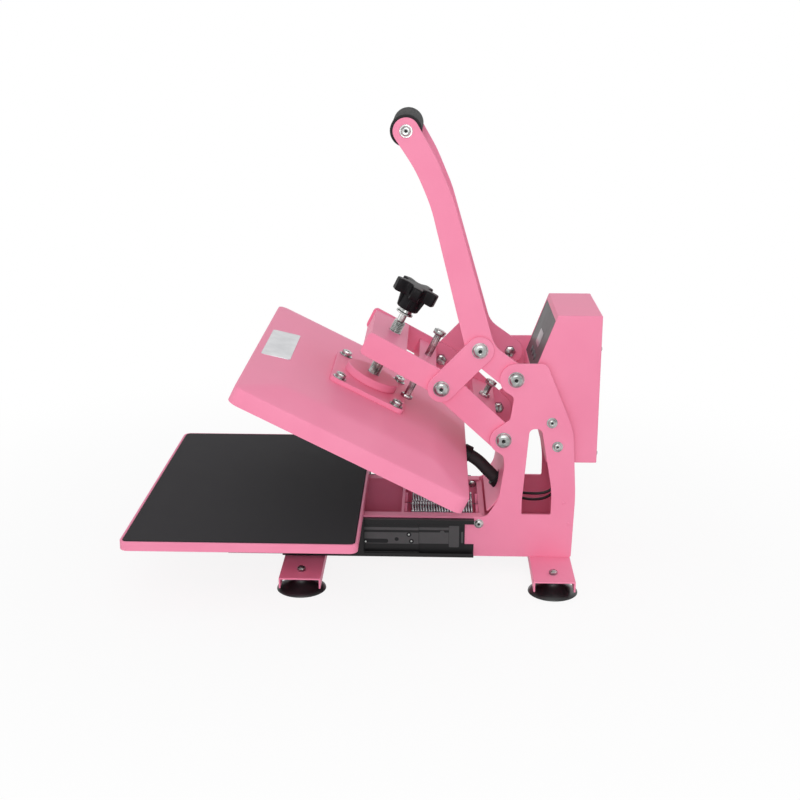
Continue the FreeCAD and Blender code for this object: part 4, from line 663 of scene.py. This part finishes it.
HINGE = (235.8, 251.0)
OPEN_ANGLE = math.radians(26.53)
HEAD = TO_METRES @ at(0, *HINGE) @ leaning(-OPEN_ANGLE)
PANEL_RUN = 41
PANEL_RISE = 109.5
PANEL = TO_METRES @ at(0, 283, 362) @ leaning(math.atan2(PANEL_RISE, PANEL_RUN))
HEAD_MIDDLE = -247.9
HEAD_RIM = -90.6
MOUNT_TOP = -37.0


def built(name, parts, place, body, slot, *nodes, smooth=35):
    """Joins parts into one piece, in metres, with smooth and sharp edges by their angle."""
    mesh = joined(name, parts, place)
    smooth_faces(mesh)
    mesh.set_sharp_from_angle(angle=math.radians(smooth))
    return settle(linked(name, mesh), body, slot, *nodes)


# %% [markdown]
# Bolts, washers and screws are turned parts. A half outline that is spun round an axis makes
# each of them, as a lathe does. A thread is the same spin with a little rise at every step, so
# that each turn meets the next one.

# %% Turn washers, bolt heads, nuts and threads
def spun(shape, steps, turns=1, rise=0, merge=False):
    """Spins all that a shape holds round Z, and lifts it a little at each step."""
    return bmesh.ops.spin(
        shape, geom=shape.verts[:] + shape.edges[:], cent=(0, 0, 0), axis=(0, 0, 1),
        dvec=(0, 0, rise), angle=2 * math.pi * turns, steps=steps, use_merge=merge,
    )


def lathe(profile, place=Matrix(), steps=32, closed=False):
    """A solid of revolution about Z from (radius, height) points."""
    shape = bmesh.new()
    points = [shape.verts.new((radius, 0, height)) for radius, height in profile]
    pairs = list(zip(points, points[1:]))
    if closed:
        pairs.append((points[-1], points[0]))
    for pair in pairs:
        shape.edges.new(pair)
    spun(shape, steps, merge=True)
    bmesh.ops.remove_doubles(shape, verts=shape.verts, dist=0.0005)
    face_outwards(shape)
    shape.transform(place)
    return shape


def pin(radius, low, high, place=Matrix(), steps=32):
    """A plain round bar between two heights."""
    return lathe([(0, low), (radius, low), (radius, high), (0, high)], place, steps)


def washer(radius, hole, height, place=Matrix()):
    """A flat ring with broken edges."""
    ease = height * 0.25
    profile = [
        (hole, 0), (radius - ease, 0), (radius, ease), (radius, height - ease),
        (radius - ease, height), (hole, height),
    ]
    return lathe(profile, place, closed=True)


def hexagonal(shape, reach, radius):
    """Draws the points near the axis out to a hexagon."""
    for point in shape.verts:
        out = math.hypot(point.co.x, point.co.y)
        if 0.01 < out <= reach:
            angle = math.atan2(point.co.y, point.co.x) % (math.pi / 3)
            grow = radius * math.cos(math.pi / 6) / math.cos(angle - math.pi / 6) / out
            point.co.x *= grow
            point.co.y *= grow


def socket_head(radius, height, key, place=Matrix()):
    """A domed bolt head with a hexagon socket for a key."""
    profile = [
        (0, height * 0.1), (key, height * 0.1), (key + 0.02, height - 0.3),
        (key + 1, height), (radius * 0.62, height), (radius * 0.76, height * 0.92),
        (radius * 0.88, height * 0.76), (radius * 0.97, height * 0.5),
        (radius, height * 0.25), (radius - 0.3, 0), (0, 0),
    ]
    shape = lathe(profile, steps=36)
    hexagonal(shape, key + 0.1, key)
    shape.transform(place)
    return shape


def socket_shade_disc(height, key, place=Matrix()):
    """A black disc at the floor of a socket: painted shade, where the recess would trap light."""
    low = height * 0.1
    return pin(key * 0.85, low, low + 0.3, place, steps=24)


socket_shade_discs = {"base": [], "arm": [], "links": [], "handle": []}


def socket_screw(body, place, hole, ring, head):
    """A washer and a domed socket head. The painted shade disc of its socket goes into the body's
    list.
    """
    reach, thickness = ring
    radius, height, key = head
    raised = place @ at(0, 0, thickness)
    # a painted shade disc at the floor of the socket
    socket_shade_discs[body].append(socket_shade_disc(height, key, raised))
    return [washer(reach, hole, thickness, place), socket_head(radius, height, key, raised)]


def hex_body(radius, height, place=Matrix()):
    """A hexagon nut or bolt head whose corners are turned off."""
    shape = bmesh.new()
    middle = at(0, 0, height / 2)
    bmesh.ops.create_cone(
        shape, cap_ends=True, segments=6, radius1=radius, radius2=radius, depth=height,
        matrix=middle,
    )
    bevel(shape, shape.verts[:] + shape.edges[:], min(radius * 0.06, height * 0.12), 2)
    shape.transform(place)
    return shape


def thread(radius, low, high, pitch, place=Matrix(), steps=20):
    """A screw thread: a saw-tooth line that is spun once and rises by one pitch."""
    shape = bmesh.new()
    depth = pitch * 0.45
    first = low - pitch * 1.5
    count = 2 * math.ceil((high - low) / pitch + 3)
    points = []
    for k in range(count):
        points.append(shape.verts.new((radius - depth * (k % 2), 0, first + k * pitch / 2)))
    for pair in zip(points, points[1:]):
        shape.edges.new(pair)
    spun(shape, steps, rise=pitch / steps)
    bmesh.ops.remove_doubles(shape, verts=shape.verts, dist=0.001)
    for height, inner, outer in ((low, True, False), (high, False, True)):
        bmesh.ops.bisect_plane(
            shape, geom=shape.verts[:] + shape.edges[:] + shape.faces[:],
            plane_co=(0, 0, height), plane_no=(0, 0, 1), clear_inner=inner, clear_outer=outer,
        )
        rim = []
        for edge in shape.edges:
            if edge.is_boundary and abs(edge.verts[0].co.z - height) < 0.01:
                rim.append(edge)
        bmesh.ops.holes_fill(shape, edges=rim, sides=0)
    face_outwards(shape)
    shape.transform(place)
    return shape


# %% [markdown]
# Four bolts on each side are the pivots of the toggle linkage. Each has a wide washer, a domed
# head with a hexagon socket, and a nut on the inside, all bright zinc. A small black disc at the
# floor of each socket is painted shade, where the recess would trap light. The discs of one body
# are gathered in a list and become one piece.

# %% Pivot bolts
HANDLE_PIVOT = (255.0, 360.4)
CRANK = (191.8, 411.2)
TOGGLE = (126.0, 343.0)
SIDE_FACE = 110
PIVOT_RING = (14, 1.6)
PIVOT_HEAD = (12.5, 6, 3.9)
PIVOT_NUT = (10.5, 9)
PIVOT_SHANK = 6


def pivot_bolt(body, side, pivot, face, inner_face):
    """Washer, head, shank and nut of one pivot, in millimetres."""
    turn = towards(side)
    outside = at(side * face, *pivot) @ turn
    shank = at(side * inner_face, *pivot) @ turn
    nut = at(side * (inner_face - PIVOT_NUT[1]), *pivot) @ turn
    return [
        *socket_screw(body, outside, PIVOT_SHANK, PIVOT_RING, PIVOT_HEAD),
        pin(PIVOT_SHANK, 0, face - inner_face, shank),
        hex_body(*PIVOT_NUT, nut),
    ]


hinge_parts = []
toggle_parts = []
crank_parts = []
for side in (1, -1):
    for pivot in (HINGE, HANDLE_PIVOT):
        hinge_parts += pivot_bolt("base", side, pivot, SIDE_FACE, 99)
    toggle_parts += pivot_bolt("arm", side, TOGGLE, 110.5, 99.5)
    crank_parts += pivot_bolt("links", side, CRANK, SIDE_FACE, 105)[:-1]
built("pivot_bolts", hinge_parts, TO_METRES, "base", "zinc", "base_pivot_bolts")
built("toggle_bolt_set", toggle_parts, TO_METRES, "arm", "zinc", "toggle_bolts")
built("crank_bolt_set", crank_parts, TO_METRES, "links", "zinc", "crank_bolts")
print("pivot bolts made")

# %% [markdown]
# The frame is bolted together with small hexagon bolts: the studs of the feet, one bolt through
# the middle of each leg, the screws of the slides, and two washers with sockets on each side
# that hold the control box. The rod of the grip has a screw at each end. Four screws close the
# rear of the box, and two small painted bumps lie behind each side window.

# %% Frame bolts and the rod of the grip
LEGS = (-114.0, 323.5)
FOOT_PLACES = [(x, y) for y in LEGS for x in (-185, 185)]
SLIDE_SCREWS = ((LEGS[0], 95.5), (189.5, 95.5))
SIDE_BOLT = (195.6, 95.2)
SMALL_NUT = (7.5, 6)
STUD = 4
small_parts = []
for x, y in FOOT_PLACES:
    small_parts.append(thread(STUD, 12, 41, 1.25, at(x, y, 0)))
    small_parts.append(hex_body(*SMALL_NUT, at(x, y, 33)))
for y in LEGS:
    small_parts.append(thread(STUD, 30, 35.5, 1.25, at(0, y, 0)))
    small_parts.append(hex_body(*SMALL_NUT, at(0, y, 24)))
    small_parts.append(hex_body(*SMALL_NUT, at(0, y, 35.5)))
flush = [(0, 0), (7.4, 0), (7.4, 1.5), (7.0, 1.8), (0, 1.8)]
spacer = [(0, 0), (4, 0), (4, 1.6), (7.5, 1.6), (7.5, 8.1), (4, 8.1), (4, 13.1), (0, 13.1)]
for side in (1, -1):
    turn = towards(side)
    for screw in SLIDE_SCREWS:
        small_parts.append(hex_body(*SMALL_NUT, at(side * 96.5, *screw) @ turn))
        small_parts.append(pin(STUD, 0, 7.5, at(side * 102.5, *screw) @ turn))
    outside = at(side * SIDE_FACE, *SIDE_BOLT) @ turn
    small_parts += socket_screw("base", outside, STUD, (8.4, 1.2), (7, 3.6, 2.8))
    small_parts.append(lathe(flush, at(side * SIDE_FACE, *SLIDE_SCREWS[0]) @ turn))
    for screw in BOX_SCREWS:
        outside = at(side * SIDE_FACE, *screw) @ turn
        small_parts += socket_screw("base", outside, STUD, (9.5, 1.2), (6.6, 3.2, 2.6))
        small_parts.append(lathe(spacer, at(side * 96.9, *screw) @ turn))
built("frame_bolts", small_parts, TO_METRES, "base", "zinc", "base_fasteners")

GRIP = (62.8, 779.8)
GRIP_HALF = 99.5
HANDLE_FACE = 104.5
grip_parts = [pin(8, 0, 2 * GRIP_HALF, at(-GRIP_HALF, *GRIP) @ towards(1))]
for side in (1, -1):
    turn = towards(side)
    grip_parts.append(pin(STUD, 0, 5, at(side * GRIP_HALF, *GRIP) @ turn))
    outside = at(side * HANDLE_FACE, *GRIP) @ turn
    grip_parts += socket_screw("handle", outside, STUD, (11, 1.4), (8.6, 5, 3.2))
    grip_parts.append(hex_body(*PIVOT_NUT, at(side * (GRIP_HALF - PIVOT_NUT[1]), *CRANK) @ turn))
    grip_parts.append(pin(PIVOT_SHANK, 0, 5, at(side * GRIP_HALF, *CRANK) @ turn))
built("handle_bolts", grip_parts, TO_METRES, "handle", "zinc", "handle_fasteners")
# The painted shade discs in the sockets of each body become one black piece.
for body, discs in socket_shade_discs.items():
    built(f"painted_socket_shade_{body}", discs, TO_METRES, body, "black_paint")
BOX_REAR = 400.5
box_head = [(0, 0), (4.6, 0), (4.6, 0.6), (3.8, 2.0), (2.2, 2.7), (0, 2.7)]
box_heads = []
for x in (-84, 84):
    for z in (411, 222):
        box_heads.append(lathe(box_head, at(x, BOX_REAR, z) @ leaning(-math.pi / 2)))
built("box_rear_screws", box_heads, TO_METRES, "base", "zinc")
dome = [(0, 0), (3.4, 0), (2.6, 0.7), (1.2, 1.0), (0, 1.0)]
tack_marks = []
for side in (1, -1):
    for tack in ((344.6, 136.2), (355.5, 97.2)):
        tack_marks.append(lathe(dome, at(side * SIDE_FACE, *tack) @ towards(side)))
built("tack_marks", tack_marks, TO_METRES, "base", "pink_paint")
print("frame bolts and grip rod made")

# %% [markdown]
# The grip is a thick sleeve of soft foam on a steel rod. Its ends are a little crushed where
# they meet the handle plates. A lathed sleeve with round shoulders shows that.

# %% Grip
grip_line = [
    (8.05, 0.2), (20, 0), (24.5, 0.6), (26.4, 2.4), (27, 6), (26.7, 60), (26.5, 99.5),
    (26.7, 139), (27, 193), (26.4, 196.6), (24.5, 198.4), (20, 199), (8.05, 198.8),
]
grip = lathe(grip_line, at(-GRIP_HALF, *GRIP) @ towards(1), steps=48, closed=True)
built("grip_sleeve", [grip], TO_METRES, "handle", "grip_foam", "grip")

# %% [markdown]
# The pressure screw is a coarse steel thread with a turned neck and a collar. Four hexagon bolts
# hold the mounting plate, a long bolt guides the head, and a stop bolt stands on the arm.

# %% Pressure screw and the bolts of the head
SCREW = HEAD @ at(0, HEAD_MIDDLE, 0)
screw = [
    thread(11, -36.9, 84.5, 3, steps=28),
    lathe([(0, 84.4), (9.6, 84.4), (8, 86), (7, 86.2), (7, 122.7), (0, 122.7)]),
    lathe(
        [
            (7, 100.5), (15.4, 100.5), (16, 101.1), (16, 103.4), (15.2, 104.1),
            (12.6, 104.6), (11.8, 110.4), (7, 110.4),
        ],
        closed=True,
    ),
]
built("screw_and_collar", screw, SCREW, "knob", "zinc", "pressure_screw")

mount_parts = []
for x in (-81, 81):
    for y in (-55, 55):
        spot = at(x, HEAD_MIDDLE + y, MOUNT_TOP)
        mount_parts.append(washer(12.5, STUD, 1.6, spot))
        mount_parts.append(hex_body(9.5, 7.4, spot @ at(0, 0, 1.6)))
        mount_parts.append(thread(STUD, -10.6, 10.5, 1.25, spot))
built("mounting_bolt_set", mount_parts, HEAD, "head", "zinc", "mounting_bolts")

guide = at(0, -175.3, 0)
guide_parts = [
    pin(6.5, MOUNT_TOP, 93.5, guide),
    hex_body(11.5, 9, guide @ at(0, 0, 93.5)),
    hex_body(11.5, 6, guide @ at(0, 0, MOUNT_TOP)),
]
built("guide_bolt_set", guide_parts, HEAD, "head", "zinc", "guide_bolt")

stop = at(0, -50.5, 0)
stop_parts = [
    thread(6, -1, 54, 1.75, stop),
    hex_body(10.5, 8, stop @ at(0, 0, 54)),
    hex_body(10.5, 6, stop @ at(0, 0, 30)),
    hex_body(10.5, 6, stop @ at(0, 0, 13)),
]
built("stop_bolt_set", stop_parts, HEAD, "arm", "zinc", "stop_bolt")
print("screw and head bolts made")

# %% [markdown]
# The knob is a five-armed star of hard black plastic on a round hub. A flat disc with many
# points is drawn in between its arms, then extruded upwards in small steps that give it round
# shoulders. The arms have flat ends, because a hand pushes there. Under each arm a rib runs down
# the hub.

# %% Knob
ARMS = 5
KNOB_LOW = 135.0
KNOB_TOP = 158.0
HUB_LOW = 110.5
ARM_REACH = 40.6
ARM_HALF = 9.2
CORE = 23.0


def star_reach(angle):
    """How far the star goes out at an angle: a flat-ended arm, or the round core."""
    step = 2 * math.pi / ARMS
    off = abs((angle + step / 2) % step - step / 2)
    along = ARM_REACH / math.cos(off)
    beside = ARM_HALF / max(math.sin(off), 0.001)
    arm = (along**-9 + beside**-9) ** (-1 / 9)
    return (arm**9 + CORE**9) ** (1 / 9)


def only(items, kind):
    """The faces, edges or points among the results of an operator."""
    return [item for item in items if isinstance(item, kind)]


def star_slab(steps):
    """A star whose outline is repeated at each (height, inset) step."""
    shape = bmesh.new()
    made = bmesh.ops.create_circle(shape, cap_ends=True, segments=180, radius=1)
    for point in made["verts"]:
        point.co *= star_reach(math.atan2(point.co.y, point.co.x)) - steps[0][1]
        point.co.z = steps[0][0]
    cap = shape.faces[:]
    for before, (height, inset) in zip(steps, steps[1:]):
        raised = bmesh.ops.extrude_face_region(shape, geom=cap)
        if before != steps[0]:
            bmesh.ops.delete(shape, geom=cap, context="FACES_ONLY")
        cap = only(raised["geom"], bmesh.types.BMFace)
        for point in only(raised["geom"], bmesh.types.BMVert):
            out = math.hypot(point.co.x, point.co.y)
            grow = (out + before[1] - inset) / out
            point.co.x *= grow
            point.co.y *= grow
            point.co.z = height
    face_outwards(shape)
    return shape


rounded = [
    (KNOB_LOW, 2.2), (KNOB_LOW + 0.5, 0.9), (KNOB_LOW + 1.8, 0), (KNOB_TOP - 2.4, 0),
    (KNOB_TOP - 1.2, 0.4), (KNOB_TOP - 0.4, 1.2), (KNOB_TOP, 2.6),
]
hub = lathe(
    [
        (7.05, HUB_LOW), (18.6, HUB_LOW), (19.6, HUB_LOW + 0.8), (20.2, HUB_LOW + 2.4),
        (19.4, HUB_LOW + 10), (19.2, HUB_LOW + 20), (20.4, KNOB_LOW + 1.5),
        (7.05, KNOB_LOW + 1.5),
    ],
    closed=True,
    steps=40,
)
rib_parts = []
for k in range(ARMS):
    turn = Matrix.Rotation(2 * math.pi * k / ARMS, 4, "Z")
    rib = block((11, 7, 25))
    for point in rib.verts:
        if point.co.z > 0:
            point.co.x += 2.5
        else:
            point.co.x = min(point.co.x, 3.2)
    bevel(rib, rib.edges[:], 1.6, 3)
    rib.transform(turn @ at(17.2, 0, HUB_LOW + 13.2))
    rib_parts.append(rib)
knob_parts = [star_slab(rounded), hub, *rib_parts]
built("star_knob", knob_parts, SCREW, "knob", "knob_plastic", "knob", smooth=42)
print("knob made with", ARMS, "arms")

# %% [markdown]
# The cover of the head is one pressed sheet: an upright rim, a wide sloping border and a flat
# top, with soft bends between them. Its plan is a rectangle with round corners. That one face is
# extruded upwards again and again, and drawn in a little more each time. Close steps make the
# bends. The sheet then gets its thickness inwards.

# %% Cover of the head
COVER_STEPS = [
    (0, 0), (0, 26.2), (0.5, 27.6), (1.9, 28.7), (4.0, 29.4), (58.0, 42.2), (66.0, 43.9),
    (75.0, 44.8), (84.0, 45.0),
]
COVER_WIDTH = 626.0
COVER_DEPTH = 418.8
COVER_CORNER = 18


def cover_skin():
    """The outer skin of the cover, in millimetres, with the head closed."""
    shape = bmesh.new()
    bmesh.ops.create_grid(shape, x_segments=1, y_segments=1, size=0.5)
    bmesh.ops.scale(shape, vec=(COVER_WIDTH, COVER_DEPTH, 1), verts=shape.verts)
    bevel(shape, shape.verts[:], COVER_CORNER, 8, affect="VERTICES")
    cap = shape.faces[:]
    for (inset, low), (next_inset, high) in zip(COVER_STEPS, COVER_STEPS[1:]):
        raised = bmesh.ops.extrude_face_region(shape, geom=cap)
        bmesh.ops.delete(shape, geom=cap, context="FACES_ONLY")
        cap = only(raised["geom"], bmesh.types.BMFace)
        across = (COVER_WIDTH - 2 * next_inset) / (COVER_WIDTH - 2 * inset)
        along = (COVER_DEPTH - 2 * next_inset) / (COVER_DEPTH - 2 * inset)
        points = only(raised["geom"], bmesh.types.BMVert)
        bmesh.ops.scale(shape, vec=(across, along, 1), verts=points)
        bmesh.ops.translate(shape, vec=(0, 0, high - low), verts=points)
    face_outwards(shape)
    if sum(face.normal.z * face.calc_area() for face in shape.faces) < 0:
        bmesh.ops.reverse_faces(shape, faces=shape.faces)
    bmesh.ops.translate(shape, vec=(0, HEAD_MIDDLE, HEAD_RIM), verts=shape.verts)
    return shape


cover = built("cover_of_head", [cover_skin()], HEAD, "head", "pink_paint", "head_cover", smooth=60)
wall = cover.modifiers.new("sheet", "SOLIDIFY")
wall.thickness = 2 * MM
wall.offset = -1
level_faces(cover)
print("cover made:", len(cover.data.polygons), "faces")

# %% [markdown]
# A blank aluminium plate is stuck to the sloping front of the cover. It has round corners and a
# shallow border, and nothing is written on it.

# %% Blank plate
BORDER_TILT = math.atan2(17, 70)
BORDER_MIDDLE = at(0, HEAD_MIDDLE - COVER_DEPTH / 2 + 35, HEAD_RIM + 36.5)
PLATE = HEAD @ BORDER_MIDDLE @ leaning(BORDER_TILT)


def rounded_plate(width, height, thickness, corner, border=0.0):
    """A thin plate with round corners, and a border that stands a little proud."""
    shape = block((width, height, thickness), (0, 0, thickness / 2))
    bevel(shape, edges_along(shape, 2, thickness / 2), corner, 6)
    if border:
        top = [face for face in shape.faces if face.normal.z > 0.9]
        bmesh.ops.inset_region(shape, faces=top, thickness=border, depth=0)
        bmesh.ops.inset_region(shape, faces=top, thickness=0.3, depth=-0.25)
    rims = [edge for edge in shape.edges if edge.calc_face_angle(0) > CORNER_ANGLE]
    bevel(shape, rims, 0.15, 2)
    return shape


blank = rounded_plate(185, 52, 0.8, 5, border=2.5)
blank.transform(at(-8, 3, 0))
built("bare_plate", [blank], PLATE, "head", "aluminium", "blank_plate")

# %% [markdown]
# Four soft suction feet carry the press. Each is one turned rubber body: a wide thin lip on the
# bench, a hollow under it, and a neck that the stud goes into.

# %% Feet
foot_line = [
    (4.05, 11), (20, 8), (33, 2.5), (38, 0.4), (42, 0), (43, 0.8), (42.6, 2.4), (37, 5.8),
    (30, 9.4), (23, 12.4), (18.4, 15.4), (16.2, 18.5), (15.6, 22), (15.5, 28.6),
    (14.4, 29.9), (4.05, 30),
]
feet = [lathe(foot_line, at(x, y, 0), steps=56, closed=True) for x, y in FOOT_PLACES]
built("suction_feet", feet, TO_METRES, "base", "foot_rubber", "feet", smooth=50)

# %% [markdown]
# Two close-wound springs lie in the base and pull the head open. A ring that is spun round the
# spring's axis, and moves along it a little at each step, makes the coil. A spring joins two
# bodies, the base and the arm.

# %% Return springs
SPRING_START = 67.0
SPRING_END = 192.0
SPRING_Z = 87.0
SPRING_RADIUS = 15
WIRE = 1.6
TURNS = 23
STEPS_A_TURN = 26


def coil_spring(x):
    """A coil along Y whose ends turn along the axis."""
    lead_in = WIRE * 4
    length = SPRING_END - SPRING_START - 2 * lead_in
    shape = bmesh.new()
    upright = at(SPRING_RADIUS, 0, 0) @ leaning(math.pi / 2)
    bmesh.ops.create_circle(shape, segments=10, radius=WIRE, matrix=upright)
    first = shape.edges[:]
    steps = TURNS * STEPS_A_TURN
    coil = spun(shape, steps, turns=TURNS, rise=length / steps)
    last = only(coil["geom_last"], bmesh.types.BMEdge)
    for edges, move in ((first, -lead_in), (last, lead_in)):
        pulled = bmesh.ops.extrude_edge_only(shape, edges=edges)
        points = only(pulled["geom"], bmesh.types.BMVert)
        bmesh.ops.translate(shape, vec=(0, 0, move), verts=points)
    open_ends = [edge for edge in shape.edges if edge.is_boundary]
    bmesh.ops.holes_fill(shape, edges=open_ends, sides=0)
    face_outwards(shape)
    shape.transform(at(x, SPRING_START + lead_in, SPRING_Z) @ leaning(-math.pi / 2))
    return shape


def blended(obj, slot, node, bodies, start, end):
    """Gives a piece that joins two bodies its finish and hides its node. Its bodies and its two
    ends are not used.
    """
    obj.data.materials.append(FINISHES[slot])
    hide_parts(node)
    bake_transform(obj)


for side, x in (("right", 28), ("left", -28)):
    spring = linked(f"coil_{side}", joined(f"coil_{side}", [coil_spring(x)], TO_METRES))
    smooth_faces(spring.data)
    ends = [(x * MM, y * MM, SPRING_Z * MM) for y in (SPRING_START, SPRING_END)]
    blended(spring, "spring_steel", f"spring_{side}", ("base", "arm"), *ends)
print("springs made")

# %% [markdown]
# A thick sleeved cable runs from the rear of the head into the column. It crosses two joints:
# the screw moves the head on the arm, and the arm swings on the base. Its mesh is therefore in
# two parts that meet, a short one near the head and a long one that bends into the column. A
# smooth curve gives the path, and rings along it give the woven sleeve its ribs.

# %% Cable of the head
CABLE_X = 22.0
CABLE_RADIUS = 11.5
MEETING_SHARE = 0.3
cover_rear = HEAD_MIDDLE + COVER_DEPTH / 2
cable_route = [
    HEAD @ Vector((CABLE_X, cover_rear, HEAD_RIM + 15.5)),
    HEAD @ Vector((CABLE_X, cover_rear + 26, HEAD_RIM + 15.5)),
    Vector((CABLE_X, 214.0, 164.6)) * MM,
    Vector((CABLE_X, 236.0, 142.6)) * MM,
]


def smooth_curve(name, points, radius):
    """A NURBS curve with those points as its control points."""
    curve = bpy.data.curves.new(name, "CURVE")
    curve.dimensions = "3D"
    curve.resolution_u = 16
    line = curve.splines.new("NURBS")
    line.points.add(len(points) - 1)
    for point, place in zip(line.points, points):
        point.co = (*place, 1)
    line.order_u = 3
    line.use_endpoint_u = True
    curve.bevel_depth = radius
    curve.bevel_resolution = 6
    curve.use_fill_caps = True
    return curve


def curve_points(points):
    """Points along the smooth curve."""
    curve = smooth_curve("route", points, 0)
    holder = bpy.data.objects.new("route", curve)
    mesh = bpy.data.meshes.new_from_object(holder)
    found = [point.co.copy() for point in mesh.vertices]
    bpy.data.meshes.remove(mesh)
    bpy.data.objects.remove(holder)
    bpy.data.curves.remove(curve)
    return found


def sleeve(path, radius):
    """A tube round a path whose rings swell and narrow, as a woven sleeve does."""
    shape = bmesh.new()
    rings = []
    for k, place in enumerate(path):
        before = path[max(k - 1, 0)]
        after = path[min(k + 1, len(path) - 1)]
        turn = (after - before).to_track_quat("Z", "Y").to_matrix().to_4x4()
        swell = radius * (1 - 0.035 * (k % 2))
        made = bmesh.ops.create_circle(
            shape, segments=28, radius=swell, matrix=Matrix.Translation(place) @ turn
        )
        rings.append(made["verts"])
    for low, high in zip(rings, rings[1:]):
        sides = [
            edge
            for ring in (low, high)
            for point in ring
            for edge in point.link_edges
            if edge.other_vert(point) in ring
        ]
        bmesh.ops.bridge_loops(shape, edges=list(dict.fromkeys(sides)))
    face_outwards(shape)
    return shape


cable_path = curve_points(cable_route)
meeting = round(len(cable_path) * MEETING_SHARE)
print("cable path of", len(cable_path), "points")
for name, path, bodies in (
    ("cable_at_head", cable_path[: meeting + 1], ("head", "arm")),
    ("cable_at_column", cable_path[meeting:], ("arm", "base")),
):
    part = linked(name, meshed(name, sleeve(path, CABLE_RADIUS * MM)))
    smooth_faces(part.data)
    blended(part, "cable_sleeve", "head_cable", bodies, path[0], path[-1])

# %% [markdown]
# Inside the column two thin leads go on from the cable up to the control box. They hang in
# loose loops that show through the side window.

# %% Leads in the column
LEAD_ROUTES = [
    [
        (-5, 0, 0), (-5, 11, -11), (0, 27, -25), (8, 46, -29), (15, 67, -27.5),
        (19, 84, -22), (22, 98, -10), (24, 107, 8),
    ],
    [
        (3, 0, 0), (3, 11, -11), (10, 28, -14.5), (20, 46, -13.5), (27, 67, -11.5),
        (30, 84, -7.5), (32, 98, 4), (34, 107, 22),
    ],
]
LEAD_RADIUS = 2.5
BOX_FLOOR = 207.5
CABLE_END = Vector((CABLE_X, 235.95, 142.65))
for k, places in enumerate(LEAD_ROUTES):
    route = [CABLE_END + Vector(place) for place in places]
    route.append(Vector((route[-1].x, route[-1].y + 2.5, BOX_FLOOR)))
    route = [place * MM for place in route]
    lead = linked(f"lead_{k}", smooth_curve(f"lead_{k}", route, LEAD_RADIUS * MM))
    settle(lead, "base", "lead_plastic", "control_leads")
print("leads made")

# %% [markdown]
# The control panel is a dark film in a recess of the sloping front. It carries a pale display
# with round corners and three round buttons, all without any writing.

# %% Control panel, display and buttons
eased("control_panel", 0.4 * MM)
PANEL_HEIGHT = 103
PANEL_DEPTH = -1
panel_low = math.hypot(PANEL_RUN, PANEL_RISE) - 11 - PANEL_HEIGHT
pane = rounded_plate(50, 27, 0.6, 5)
pane.transform(at(0, panel_low + PANEL_HEIGHT * 0.47, PANEL_DEPTH))
built("display_pane", [pane], PANEL, "base", "display_glass", "display_window")

BUTTON_LOW = -7.5
BUTTON_TOP = 1.4
BUTTON_PITCH = 30
buttons_y = panel_low + PANEL_HEIGHT * 0.18
button_line = [
    (0, BUTTON_LOW), (6, BUTTON_LOW), (6, BUTTON_TOP - 1.2), (5.6, BUTTON_TOP - 0.5),
    (4.6, BUTTON_TOP - 0.1), (3, BUTTON_TOP), (0, BUTTON_TOP),
]
for k in (1, 2, 3):
    cap = lathe(button_line, at(BUTTON_PITCH * (k - 2), buttons_y, 0), steps=36)
    button = f"button_{k}"
    built(f"button_cap_{k}", [cap], PANEL, button, "button_plastic", button)
print("control panel made")

# %% [markdown]
# Every CAD node that no piece replaces still needs its finish. The last cell gives it.

# %% Finish the last nodes
for name, node in frame["nodes"].items():
    if not node.hide_render:
        node.data.materials.clear()
        node.data.materials.append(FINISHES[slot_of[name]])
        print("kept as it is:", name)
